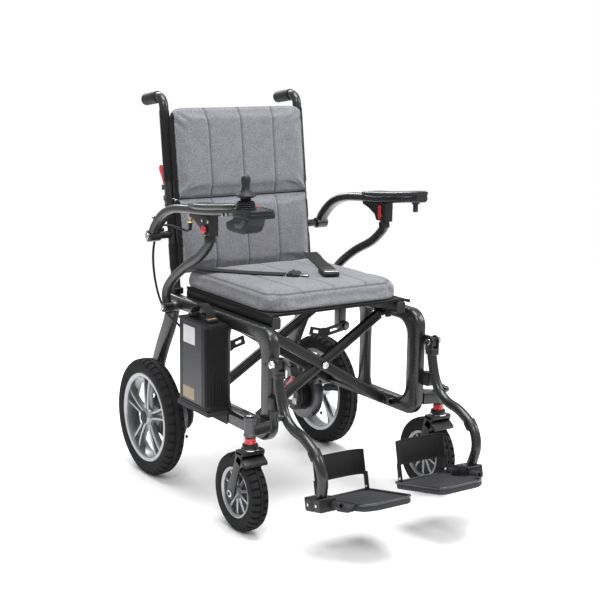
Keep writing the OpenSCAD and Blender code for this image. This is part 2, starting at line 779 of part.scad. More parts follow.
module hanger(side) {
    path = curve([[hanger_y, hanger_z + 12], [hanger_y, hanger_z - 12], [hanger_y - 14, hanger_z - 82],
        [hanger_y - 34, hanger_z - 118], [hanger_y - 66, hanger_z - 138], [hanger_y - 110, hanger_z - 148],
        [hanger_y - 150, 244], [hanger_y - 172, 222], [plate_y - 18, 186], [plate_y - 4, plate_z + 6]], 3);
    color("#232427") placed(side) {
        difference() {
            union() {
                side_plate(hanger_x - 12, 24) band(path, 25);
                rod_x(hanger_x - 12, hanger_y, hanger_z, 24, 15);
            }
            rod_x(hanger_x - 20, hanger_y, hanger_z, 40, pivot_r + fit);
            span([hanger_x - tongue - gap, hanger_y - 20, hanger_z - 17],
                [hanger_x + tongue + gap, 0, hanger_z + 40]);
        }
        foot_placed() {
            span([-ear_r, -block_half, -14], [hanger_x + 12 - plate_x, block_half, 18]);
            rod_y(0, -plate_pin_y, 0, 2 * plate_pin_y, pin_r);
        }
    }
}

module footplate(side) {
    f = -plate_toe;
    b = 64;
    color("#2a2b2d") placed(side) foot_placed() difference() {
        union() {
            translate([0, 0, -plate_t]) linear_extrude(plate_t) polygon(concat(
                [[0, -74], [-46, f + 6]],
                arc([-plate_w + 22, f + 22], 22, 270, 180),
                arc([-plate_w + 12, b - 12], 12, 180, 90),
                [[0, b]]
            ));
            for (y = [-plate_pin_y, block_half + gap]) rod_y(0, y, 0, plate_pin_y - block_half - gap, ear_r);
        }
        span([-24, -block_half - gap, -40], [40, block_half + gap, 40]);
        rod_y(0, -plate_pin_y - 60, 0, 240, pin_r + fit);
        // raised tread field's rim
        translate([0, 0, -2]) linear_extrude(4) polygon([
            [-38, -70], [-60, f + 20], [-plate_w + 18, f + 20], [-plate_w + 18, b - 14], [-38, b - 14]
        ]);
    }
}

// Heel strap behind the footplate, held at its outer and inner rear corners
module calf_strap(side) {
    path = curve([[-12, 52], [-30, 70], [-80, 76], [-plate_w + 24, 74], [-plate_w + 8, 58]], 4);
    color("#111112") placed(side) foot_placed() {
        translate([0, 0, 36]) linear_extrude(60) band(path, 3);
        translate([-plate_w + 8, 50, gap]) cube([3, 14, 60]);
        translate([-14, 50, gap]) cube([3, 10, 60]);
    }
}

// ---- battery ----

module battery_case() {
    r = 16;
    f = battery_front;
    b = battery_front + battery_l;
    color("#4d4f52") placed(RIGHT) difference() {
        translate([battery_x, 0, battery_z]) linear_extrude(battery_h) polygon(concat(
            [[0, b], [0, f]],
            arc([battery_t - r, f + r], r, 270, 360),
            [[battery_t, b]]
        ));
        for (y = [f + 30, b - 30]) translate([battery_x + battery_t / 2, y, battery_z + battery_h - 8])
            cylinder(h = 10, r = 4 + fit);
    }
}

// Strap handle with an anchor at each end
module battery_handle() {
    z = battery_z + battery_h;
    y0 = battery_front + 30;
    y1 = battery_front + battery_l - 30;
    m = (y0 + y1) / 2;
    path = curve([[y0, z + 7], [y0 + 12, z + 24], [m, z + 38], [y1 - 12, z + 24], [y1, z + 7]], 4);
    color("#17181a") placed(RIGHT) {
        side_plate(battery_x + battery_t / 2 - 12, 24) band(path, 4);
        for (y = [y0, y1]) {
            span([battery_x + battery_t / 2 - 14, y - 8, z], [battery_x + battery_t / 2 + 14, y + 8, z + 10]);
            translate([battery_x + battery_t / 2, y, z - 7]) cylinder(h = 10, r = 4);
        }
    }
}

// Dock between the rails with a shelf under the battery and the cable's socket
module battery_dock() {
    f = battery_front;
    b = battery_front + battery_l;
    color("#1c1d1f") placed(RIGHT) {
        span([frame_out, f + 6, bottom_under], [battery_x - gap, b - 6, battery_z + battery_h - 6]);
        span([frame_out, f + 2, battery_z - 12], [battery_x + battery_t, dock_rear, battery_z - gap]);
        span([frame_out, b + gap, battery_z - 2],
            [battery_x + battery_t - 16, dock_rear, battery_z + battery_h - 52]);
    }
}

// ---- joystick ----

module joystick_housing() {
    x0 = joy_x - joy_w;
    color("#232426") placed(RIGHT) {
        difference() {
            union() {
                span([x0, joy_front, joy_top - joy_block], [joy_x, joy_rear, joy_top]);
                translate([joy_x - 46, 0, 0]) side_plate(0, 46) polygon([
                    [joy_front + 8, joy_top - joy_block], [joy_front + 20, joy_top - 50],
                    [joy_front + 40, joy_top - 57], [joy_rear + 6, joy_top - 57],
                    [joy_rear + 26, joy_top - 50], [joy_rear + 26, joy_top - joy_block - 16],
                    [joy_rear - 6, joy_top - joy_block - 4], [joy_rear - 6, joy_top - joy_block]
                ]);
            }
            // well of the stick
            translate([stick_x, stick_y, stick_pivot_z - 20]) cylinder(h = 40, r = 19);
            // bore for the armrest's peg
            translate([arm_x, peg_y, peg_z - 1]) cylinder(h = 30, r = peg_r + fit);
        }
        // gimbal pin stubs
        for (s = [-1, 1]) rod_x(stick_x + s * 17 - 2.5, stick_y, stick_pivot_z, 5, 2);
    }
}

// Ring that tilts about X and carries the stick's pivot along Y
module joystick_gimbal() {
    color("#8d8f92") placed(RIGHT) difference() {
        translate([stick_x, stick_y, stick_pivot_z - 3]) difference() {
            cylinder(h = 6, r = 16.5);
            translate([0, 0, -1]) cylinder(h = 8, r = 12);
        }
        rod_x(stick_x - 20, stick_y, stick_pivot_z, 40, 2 + fit);
        rod_y(stick_x, stick_y - 20, stick_pivot_z, 40, 2 + fit);
    }
}

module joystick_stick() {
    z = stick_pivot_z;
    color("#2f3032") placed(RIGHT) {
        rod_y(stick_x, stick_y - 15, z, 30, 2);
        translate([stick_x, stick_y, z]) rotate_extrude()
            polygon([[0, -8], [7, -8], [7, 28], [22, 32], [24, 35], [16, 42], [10, 49], [9, 54],
                [11, 66], [10.5, 76], [7, 80], [0, 81]]);
    }
}

// Bellows round the stick
module joystick_boot() {
    color("#0f0f10") placed(RIGHT) translate([stick_x, stick_y, joy_top + gap]) rotate_extrude()
        polygon([[9, 0], [23, 0], [21, 4], [23.5, 7], [18, 10], [20, 14], [15, 17], [16, 20.5], [9, 20.5]]);
}

// Cable from the joystick to the battery dock, clipped behind the post
module joystick_cable() {
    color("#101011") placed(RIGHT) swept_tube(curve(cable_points, 2), cable_r, 8);
}

// ---- lap belt ----

belt_z = seat_z + seat_t + gap;
module lap_belt_right() {
    path = curve([[-186, -90], [-143, -158], [-86, -226], [-8, -300]], 3);
    color("#131314") placed() translate([0, 0, belt_z]) linear_extrude(2) band(path, 38);
}

module lap_belt_left() {
    path = curve([[186, -80], [160, -130], [136, -186], [99, -276]], 3);
    color("#131314") placed() translate([0, 0, belt_z]) linear_extrude(2) band(path, 38);
}

module belt_buckle() {
    color("#1a1a1b") placed() translate([64, -330, belt_z]) rotate([0, 0, -24])
        translate([-24, -36, 0]) cube([46, 84, 14]);
}

side_frame(RIGHT);  // side_frame_right
side_frame(LEFT);  // side_frame_left
rear_strut(RIGHT);  // rear_strut_right
rear_strut(LEFT);  // rear_strut_left
motor_bracket(RIGHT);  // motor_bracket_right
motor_bracket(LEFT);  // motor_bracket_left
motor(RIGHT);  // motor_right
motor(LEFT);  // motor_left
clutch_lever(RIGHT);  // clutch_lever_right
clutch_lever(LEFT);  // clutch_lever_left
rear_rim(RIGHT);  // rear_rim_right
rear_rim(LEFT);  // rear_rim_left
rear_tyre(RIGHT);  // rear_tyre_right
rear_tyre(LEFT);  // rear_tyre_left
caster_fork(RIGHT);  // caster_fork_right
caster_fork(LEFT);  // caster_fork_left
caster_rim(RIGHT);  // caster_rim_right
caster_rim(LEFT);  // caster_rim_left
caster_tyre(RIGHT);  // caster_tyre_right
caster_tyre(LEFT);  // caster_tyre_left
back_post(RIGHT);  // back_post_right
back_post(LEFT);  // back_post_left
upper_post(RIGHT);  // upper_post_right
upper_post(LEFT);  // upper_post_left
push_grip(RIGHT);  // push_grip_right
push_grip(LEFT);  // push_grip_left
back_latch();
back_cushion_lower();
back_cushion_upper();
seat_rail(RIGHT);  // seat_rail_right
seat_rail(LEFT);  // seat_rail_left
seat_cushion();
seat_sling();
brace_a();
brace_b();
arm_rest(RIGHT);  // arm_rest_right
arm_rest(LEFT);  // arm_rest_left
arm_link(RIGHT);  // arm_link_right
arm_link(LEFT);  // arm_link_left
arm_button(RIGHT);  // arm_button_right
arm_button(LEFT);  // arm_button_left
hanger(RIGHT);  // hanger_right
hanger(LEFT);  // hanger_left
footplate(RIGHT);  // footplate_right
footplate(LEFT);  // footplate_left
calf_strap(RIGHT);  // calf_strap_right
calf_strap(LEFT);  // calf_strap_left
battery_case();
battery_handle();
battery_dock();
joystick_housing();
joystick_gimbal();
joystick_stick();
joystick_boot();
lap_belt_right();
lap_belt_left();
belt_buckle();
joystick_cable();
guide_link(RIGHT);  // guide_link_right
guide_link(LEFT);  // guide_link_left
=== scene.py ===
"""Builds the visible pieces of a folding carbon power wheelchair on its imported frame.

Lengths are millimetres measured from the rear axle until a piece is finished. The user's
left side is +X, and a right-hand piece is the mirror image of the left one.
"""

from __future__ import annotations

import json
import logging
import math
from dataclasses import dataclass, field
from enum import Enum
from typing import Any, Callable, Iterable, Sequence

import bmesh
import bpy
from mathutils import Matrix, Vector

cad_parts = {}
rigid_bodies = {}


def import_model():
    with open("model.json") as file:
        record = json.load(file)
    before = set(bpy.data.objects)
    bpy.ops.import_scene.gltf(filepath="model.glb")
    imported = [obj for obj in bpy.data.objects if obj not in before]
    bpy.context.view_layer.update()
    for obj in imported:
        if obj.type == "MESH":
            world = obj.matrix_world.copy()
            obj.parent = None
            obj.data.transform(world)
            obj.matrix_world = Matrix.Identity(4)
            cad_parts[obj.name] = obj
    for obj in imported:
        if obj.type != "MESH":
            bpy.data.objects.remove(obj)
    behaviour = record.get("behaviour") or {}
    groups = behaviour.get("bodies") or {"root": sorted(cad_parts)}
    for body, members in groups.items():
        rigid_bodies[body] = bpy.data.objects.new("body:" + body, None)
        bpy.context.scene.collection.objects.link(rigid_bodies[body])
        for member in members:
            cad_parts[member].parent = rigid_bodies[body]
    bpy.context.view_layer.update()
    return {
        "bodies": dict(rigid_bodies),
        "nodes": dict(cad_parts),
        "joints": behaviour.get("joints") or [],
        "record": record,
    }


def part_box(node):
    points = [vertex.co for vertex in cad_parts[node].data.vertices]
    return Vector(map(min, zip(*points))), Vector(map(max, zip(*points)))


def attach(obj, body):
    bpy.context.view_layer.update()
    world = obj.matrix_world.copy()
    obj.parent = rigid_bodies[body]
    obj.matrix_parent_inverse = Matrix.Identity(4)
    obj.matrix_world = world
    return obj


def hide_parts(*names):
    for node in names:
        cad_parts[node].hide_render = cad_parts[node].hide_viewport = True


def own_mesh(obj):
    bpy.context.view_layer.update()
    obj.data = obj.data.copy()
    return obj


LOG = logging.getLogger("wheelchair")
MM = 0.001
Point = Sequence[float]

AXLE_Z = 155.0  # height of the rear axle
CROSSES = (-397.0, -162.0)  # places of the front and rear cross along Y
PIVOT_Z = 349.22  # height of the crosses' middle bolts
POST_FOOT = (-20.0, 485.0)  # where a back post starts, in Y and Z
POST_LEAN = 7.8  # how far the back leans, in degrees
HINGE_Z = 727.0  # height of the back's fold
CUSHION_HALF = 205.0  # half the width of the cushions


class Side(Enum):
    """The user's side that a piece belongs to."""

    LEFT = 1
    RIGHT = -1

    @property
    def word(self) -> str:
        """The ending of node and body names on this side."""
        return self.name.lower()


class Weave(Enum):
    """How the threads of a cloth finish cross."""

    PLAIN = 2
    TWILL = 4


# ---- shader expressions ----


class Value:
    """A socket in a material that takes part in ordinary arithmetic."""

    def __init__(self, paint: "Paint", socket: bpy.types.NodeSocket) -> None:
        """Wraps one output socket of a material."""
        self.paint = paint
        self.socket = socket

    def _math(self, operation: str, *operands: Any) -> "Value":
        """Adds one Math node.

        Args:
            operation: the node's operation.
            operands: numbers or values for its inputs, in order.

        Returns:
            The node's result.
        """
        node = self.paint.node("ShaderNodeMath", {"operation": operation}, dict(enumerate(operands)))
        return Value(self.paint, node.outputs[0])

    def __add__(self, other: Any) -> "Value":
        """The sum with a number or value."""
        return self._math("ADD", self, other)

    def __sub__(self, other: Any) -> "Value":
        """The difference from a number or value."""
        return self._math("SUBTRACT", self, other)

    def __rsub__(self, other: Any) -> "Value":
        """A number minus this value."""
        return self._math("SUBTRACT", other, self)

    def __mul__(self, other: Any) -> "Value":
        """The product with a number or value."""
        return self._math("MULTIPLY", self, other)

    def __truediv__(self, other: Any) -> "Value":
        """The quotient by a number or value."""
        return self._math("DIVIDE", self, other)

    def __lt__(self, other: Any) -> "Value":
        """One where this is less than the other, else nought."""
        return self._math("LESS_THAN", self, other)

    def __gt__(self, other: Any) -> "Value":
        """One where this is greater than the other, else nought."""
        return self._math("GREATER_THAN", self, other)

    __radd__ = __add__
    __rmul__ = __mul__

    def cycle(self, period: float) -> "Value":
        """The remainder after whole periods, never negative."""
        return self._math("FLOORED_MODULO", self, period)

    def floor(self) -> "Value":
        """The whole number below."""
        return self._math("FLOOR", self)

    def sine(self) -> "Value":
        """The sine of this angle in radians."""
        return self._math("SINE", self)

    def size(self) -> "Value":
        """The value without its sign."""
        return self._math("ABSOLUTE", self)

    def lift(self, power: float) -> "Value":
        """This value to a power."""
        return self._math("POWER", self, power)

    def clear(self) -> "Value":
        """This value held between nought and one."""
        node = self.paint.node("ShaderNodeClamp", {}, {"Value": self})
        return Value(self.paint, node.outputs[0])


class Tree:
    """A node tree under construction."""

    def __init__(self, tree: bpy.types.NodeTree) -> None:
        """Takes a tree over and empties it."""
        self.tree = tree
        self.tree.nodes.clear()

    def node(self, kind: str, settings: dict[str, Any], inputs: dict[Any, Any]) -> bpy.types.Node:
        """Adds one node.

        Args:
            kind: the node's type name.
            settings: its own options, set before its sockets.
            inputs: socket name or number to a number, colour, socket or value.

        Returns:
            The new node.
        """
        node = self.tree.nodes.new(kind)
        for key, value in settings.items():
            setattr(node, key, value)
        for key, value in inputs.items():
            self.feed(node.inputs[key], value)
        return node

    def feed(self, socket: bpy.types.NodeSocket, value: Any) -> None:
        """Links or sets one input socket."""
        if isinstance(value, Value):
            value = value.socket
        if isinstance(value, bpy.types.NodeSocket):
            self.tree.links.new(value, socket)
        else:
            socket.default_value = value


class Paint(Tree):
    """A material under construction, with one Principled shader."""

    def __init__(self, name: str) -> None:
        """Starts an empty material of that name."""
        self.material = bpy.data.materials.new(name)
        self.material.use_nodes = True
        super().__init__(self.material.node_tree)
        self.shader = self.node("ShaderNodeBsdfPrincipled", {}, {})
        self.node("ShaderNodeOutputMaterial", {}, {"Surface": self.shader.outputs["BSDF"]})
        self.coords = self.node("ShaderNodeTexCoord", {}, {}).outputs["Object"]

    def axes(self) -> tuple[Value, Value, Value]:
        """The object coordinates in millimetres, as three values."""
        split = self.node("ShaderNodeSeparateXYZ", {}, {0: self.coords})
        return tuple(Value(self, out) * 1000.0 for out in split.outputs)

    def noise(self, scale: float, detail: float = 3.0, stretch: Point = (1, 1, 1)) -> Value:
        """Fractal noise on the object coordinates.

        Args:
            scale: features per metre.
            detail: octaves.
            stretch: factor along each axis.

        Returns:
            The noise, from nought to one.
        """
        place = self.node("ShaderNodeMapping", {}, {"Vector": self.coords, "Scale": stretch})
        node = self.node("ShaderNodeTexNoise", {}, {"Vector": place.outputs[0], "Scale": scale, "Detail": detail})
        return Value(self, node.outputs[0])

    def attribute(self, name: str) -> Value:
        """A number that the mesh holds at each vertex."""
        node = self.node("ShaderNodeAttribute", {"attribute_name": name}, {})
        return Value(self, node.outputs["Fac"])

    def blend(self, amount: Any, first: Any, second: Any) -> bpy.types.NodeSocket:
        """A colour between two.

        Args:
            amount: nought for the first, one for the second.
            first: colour or socket.
            second: colour or socket.

        Returns:
            The mixed colour's socket.
        """
        a, b = (rgba(c) if isinstance(c, tuple) else c for c in (first, second))
        return self.node("ShaderNodeMix", {"data_type": "RGBA"}, {0: amount, 6: a, 7: b}).outputs[2]

    def weave(self, u: Value, v: Value, pattern: Weave) -> tuple[Value, Value]:
        """Two sets of crossing threads.

        Args:
            u: place across the first set, in threads.
            v: place across the second set, in threads.
            pattern: how they cross.

        Returns:
            One where the first set lies on top, and the height of the upper thread.
        """
        over = (u.floor() + v.floor()).cycle(float(pattern.value)) < pattern.value / 2 - 0.5
        first, second = ((place * math.pi).sine().size() for place in (u, v))
        return over, over * first + (1.0 - over) * second

    def bump(self, height: Value, depth: float, strength: float = 1.0) -> None:
        """Raises the surface's shading by a height.

        Args:
            height: the pattern, from nought to one.
            depth: its height in millimetres.
            strength: how much of it shows.
        """
        node = self.node("ShaderNodeBump", {}, {"Height": height, "Distance": depth * MM, "Strength": strength})
        self.feed(self.shader.inputs["Normal"], node.outputs[0])

    def finish(self, **sockets: Any) -> bpy.types.Material:
        """Sets the shader's sockets, with underscores for spaces, and returns the material."""
        for key, value in sockets.items():
            self.feed(self.shader.inputs[key.replace("_", " ")], rgba(value) if isinstance(value, tuple) else value)
        return self.material


def rgba(colour: tuple[float, ...]) -> tuple[float, ...]:
    """A colour with its alpha."""
    return (*colour, 1.0) if len(colour) == 3 else colour


# ---- finishes ----


@dataclass(frozen=True)
class Finish:
    """A named finish; each kind lays its own pattern."""

    name: str
    colour: tuple[float, float, float]
    roughness: float = 0.5
    shine: float = 0.5

    def material(self) -> bpy.types.Material:
        """The finish's material, made once."""
        return bpy.data.materials.get(self.name) or self.make(Paint(self.name))

    def make(self, paint: Paint) -> bpy.types.Material:
        """Lays the pattern; each kind of finish has its own."""
        raise NotImplementedError

    def shade(self, factor: float) -> tuple[float, ...]:
        """The finish's colour, lighter or darker."""
        return tuple(c * factor for c in self.colour)


@dataclass(frozen=True)
class Carbon(Finish):
    """Twill carbon cloth under a clear coat."""

    thread: float = 2.6
    roughness: float = 0.34

    def make(self, paint: Paint) -> bpy.types.Material:
        """Lays crossing tows that catch the light differently."""
        x, y, z = paint.axes()
        u = (x + y) / self.thread
        v = (z + (x - y) * 0.5) / self.thread
        warp, height = paint.weave(u, v, Weave.TWILL)
        cloud = paint.noise(22.0)
        tone = (warp * 0.55 + height * 0.3 + cloud * 0.25).clear()
        paint.bump(height, 0.08, 0.14)
        return paint.finish(
            Base_Color=paint.blend(tone, self.shade(0.45), self.shade(1.9)),
            Roughness=warp * 0.1 + cloud * 0.08 + (self.roughness - 0.08),
            Metallic=0.15, Coat_Weight=0.5, Coat_Roughness=0.07, Specular_IOR_Level=self.shine,
        )


@dataclass(frozen=True)
class Moulded(Finish):
    """Moulded plastic or rubber with a fine grain."""

    grain: float = 900.0
    depth: float = 0.08
    gloss: float = 0.0

    def make(self, paint: Paint) -> bpy.types.Material:
        """Lays a fine grain with slow changes of tone and shine."""
        fine = paint.noise(self.grain, 2.0)
        slow = paint.noise(14.0, 4.0)
        paint.bump(fine, self.depth, 0.5)
        return paint.finish(
            Base_Color=paint.blend(slow, self.shade(0.75), self.shade(1.3)),
            Roughness=slow * 0.14 + fine * 0.06 + (self.roughness - 0.1),
            Coat_Weight=self.gloss, Coat_Roughness=0.1, Specular_IOR_Level=self.shine,
        )


@dataclass(frozen=True)
class Metal(Finish):
    """Anodised, painted or bare metal with faint streaks and scuffs."""

    metallic: float = 1.0
    stretch: tuple[float, float, float] = (1.0, 1.0, 8.0)

    def make(self, paint: Paint) -> bpy.types.Material:
        """Lays streaks along one axis and sparse scuffs over them."""
        streak = paint.noise(160.0, 3.0, self.stretch)
        scuff = (paint.noise(55.0, 6.0) > 0.66) * 0.12
        paint.bump(streak, 0.03, 0.4)
        return paint.finish(
            Base_Color=paint.blend(streak, self.shade(0.8), self.shade(1.2)),
            Roughness=streak * 0.12 + scuff + (self.roughness - 0.06),
            Metallic=self.metallic, Specular_IOR_Level=self.shine,
        )


@dataclass(frozen=True)
class Melange(Finish):
    """Upholstery cloth spun from light and dark yarns, with sewn seams darkened as painted shade."""

    thread: float = 0.9
    contrast: float = 0.62

    def make(self, paint: Paint) -> bpy.types.Material:
        """Lays yarns of mixed tone with the threads' crowns painted slightly lighter as a painted highlight, and
        darkens the mesh's seams as painted shade in their creases.
        """
        x, y, z = paint.axes()
        u = (x + y * 0.35) / self.thread
        v = (z + y) / self.thread
        _, yarn = paint.weave(u, v, Weave.PLAIN)
        fleck = paint.noise(430.0, 5.0)
        patch = paint.noise(34.0, 4.0)
        seam = paint.attribute("seam")
        # the yarn term paints the threads' crowns slightly lighter: a painted highlight
        tone = (fleck * 1.9 + patch * 0.35 + yarn * 0.18 - 0.72).clear()
        cloth = paint.blend(tone, self.shade(1.0 - self.contrast), self.shade(1.0 + self.contrast))
        paint.bump(yarn * 0.6 + fleck * 0.4, 0.35, 0.55)
        return paint.finish(
            # painted shade: the cloth is darkened towards the bottom of the seams' creases
            Base_Color=paint.blend((seam * 0.85).clear(), cloth, self.shade(0.16)),
            Roughness=fleck * 0.08 + (self.roughness - 0.04),
            Sheen_Weight=0.25, Sheen_Roughness=0.5,
        )


@dataclass(frozen=True)
class Webbing(Finish):
    """Ribbed strap webbing."""

    rib: float = 1.7

    def make(self, paint: Paint) -> bpy.types.Material:
        """Lays close ribs with their crests painted lighter as a painted highlight, and a faint sheen."""
        x, y, z = paint.axes()
        rib = ((x * 0.8 + y + z * 1.1) * (math.pi / self.rib)).sine().size()
        fleck = paint.noise(500.0, 3.0)
        paint.bump(rib * 0.8 + fleck * 0.3, 0.3, 0.7)
        return paint.finish(
            # painted highlight: the ribs' crests are painted lighter than their hollows
            Base_Color=paint.blend((rib * 0.6 + fleck * 0.4).clear(), self.shade(0.6), self.shade(1.7)),
            Roughness=fleck * 0.1 + (self.roughness - 0.05), Sheen_Weight=0.08, Specular_IOR_Level=self.shine,
        )


@dataclass(frozen=True)
class Tread(Finish):
    """Tyre rubber, dusty in its grooves."""

    def make(self, paint: Paint) -> bpy.types.Material:
        """Lays a matt grain with a trace of dust."""
        fine = paint.noise(700.0, 3.0)
        dust = (paint.noise(40.0, 5.0).lift(2.0) * 0.9).clear()
        paint.bump(fine, 0.15, 0.5)
        return paint.finish(
            Base_Color=paint.blend(dust, self.shade(0.8), self.shade(1.9)),
            Roughness=fine * 0.1 + (self.roughness - 0.05), Specular_IOR_Level=self.shine,
        )


@dataclass(frozen=True)
class Chequer(Finish):
    """Moulded footplate field with raised diamonds whose tops are painted lighter as a painted highlight."""

    pitch: float = 9.0

    def make(self, paint: Paint) -> bpy.types.Material:
        """Lays raised diamonds over a grain, and paints the diamonds lighter than the field as a painted highlight.
        """
        x, y, _ = paint.axes()
        a, b = (((way * (math.pi / self.pitch)).sine()).size() for way in (x + y, x - y))
        stud_and_highlight = (a * b) > 0.42
        grain = paint.noise(800.0, 2.0)
        paint.bump(stud_and_highlight + grain * 0.15, 0.9, 0.8)
        return paint.finish(
            # painted highlight: the raised diamonds are painted much lighter than the field around them
            Base_Color=paint.blend(stud_and_highlight * 0.8, self.shade(0.6), self.shade(4.5)),
            Roughness=grain * 0.1 + (self.roughness - 0.05), Specular_IOR_Level=self.shine,
        )


CARBON = Carbon("carbon_twill", (0.011, 0.0115, 0.0125), shine=0.35)
STEEL_CARBON = Carbon("carbon_strut", (0.018, 0.0185, 0.020), thread=3.0, shine=0.4)
MOTOR = Metal("motor_black", (0.010, 0.010, 0.011), 0.4, metallic=0.25, stretch=(8.0, 1.0, 1.0))
BRACKET = Metal("bracket_grey", (0.13, 0.13, 0.14), 0.36, metallic=0.8)
RIM = Metal("rim_silver", (0.36, 0.37, 0.385), 0.3, metallic=0.85, stretch=(6.0, 1.0, 1.0))
BRIGHT = Metal("bright_steel", (0.62, 0.62, 0.63), 0.22, stretch=(4.0, 4.0, 1.0))
GREY_METAL = Metal("grey_metal", (0.075, 0.077, 0.082), 0.38, metallic=0.6)
BLACK_METAL = Metal("black_anodised", (0.010, 0.010, 0.011), 0.36, metallic=0.25)
TYRE = Tread("tyre_rubber", (0.013, 0.013, 0.014), 0.85, shine=0.22)
CASTER_TYRE = Tread("caster_rubber", (0.013, 0.013, 0.014), 0.84, shine=0.22)
GRIP = Moulded("grip_rubber", (0.020, 0.0205, 0.022), 0.5, shine=0.3, grain=500.0, depth=0.2)
PLASTIC = Moulded("black_plastic", (0.009, 0.009, 0.010), 0.42, shine=0.28)
HOUSING = Moulded("housing_plastic", (0.010, 0.0105, 0.012), 0.36, shine=0.3)
KNOB = Moulded("knob_rubber", (0.014, 0.0145, 0.016), 0.5, shine=0.3, grain=400.0)
BELLOWS = Moulded("bellows_rubber", (0.005, 0.005, 0.0055), 0.5, shine=0.3)
RED = Moulded("red_plastic", (0.55, 0.012, 0.022), 0.3, gloss=0.5)
CLOTH = Melange("melange_cloth", (0.158, 0.160, 0.176), 0.9)
EDGE_CLOTH = Webbing("edge_cloth", (0.007, 0.007, 0.008), 0.8, shine=0.2, rib=2.4)
SLING = Webbing("sling_cloth", (0.007, 0.007, 0.0075), 0.78, shine=0.2, rib=2.0)
STRAP = Webbing("strap_webbing", (0.008, 0.008, 0.0085), 0.74, shine=0.2)
BATTERY = Metal("battery_shell", (0.030, 0.031, 0.035), 0.32, metallic=0.5)
BATTERY_EDGE = Moulded("battery_edge", (0.007, 0.007, 0.008), 0.5, shine=0.25)
LABEL = Moulded("blank_label", (0.55, 0.55, 0.56), 0.45)
TAN_LABEL = Moulded("blank_tan_label", (0.30, 0.24, 0.16), 0.5)
FIELD = Chequer("footplate_field", (0.014, 0.0145, 0.016), 0.6, shine=0.3)
BRASS = Metal("brass", (0.55, 0.38, 0.16), 0.3)
CABLE = Moulded("cable_sheath", (0.006, 0.006, 0.0065), 0.5, shine=0.25)


# ---- shapes ----


def smooth_path(points: Sequence[Point], steps: int = 6) -> list[Vector]:
    """A smooth curve through points.

    Args:
        points: the points to pass through.
        steps: pieces between two of them.

    Returns:
        The curve's points.
    """
    p = [Vector(q) for q in points]
    result: list[Vector] = []
    for i in range(len(p) - 1):
        a, b, c, d = p[max(i - 1, 0)], p[i], p[i + 1], p[min(i + 2, len(p) - 1)]
        for j in range(steps):
            t = j / steps
            result.append(0.5 * (2 * b + (c - a) * t + (2 * a - 5 * b + 4 * c - d) * t * t
                                 + (3 * b - a - 3 * c + d) * t ** 3))
    return [*result, p[-1]]


def arc(centre: Point, radius: float, start: float, end: float, steps: int = 8) -> list[tuple[float, float]]:
    """Points of a circular arc in a plane, between two angles in degrees."""
    turn = [math.radians(start + (end - start) * i / steps) for i in range(steps + 1)]
    return [(centre[0] + radius * math.cos(a), centre[1] + radius * math.sin(a)) for a in turn]


def oval(width: float, height: float, corner: float, steps: int = 3) -> list[tuple[float, float]]:
    """Outline of a rectangle with round corners, about its middle."""
    a, b = width / 2 - corner, height / 2 - corner
    corners = ((a, b, 0), (-a, b, 90), (-a, -b, 180), (a, -b, 270))
    return [q for x, y, t in corners for q in arc((x, y), corner, t, t + 90, steps)]


def circle(radius: float, steps: int = 24) -> list[tuple[float, float]]:
    """Outline of a circle about its middle."""
    return arc((0, 0), radius, 0, 360 - 360 / steps, steps - 1)


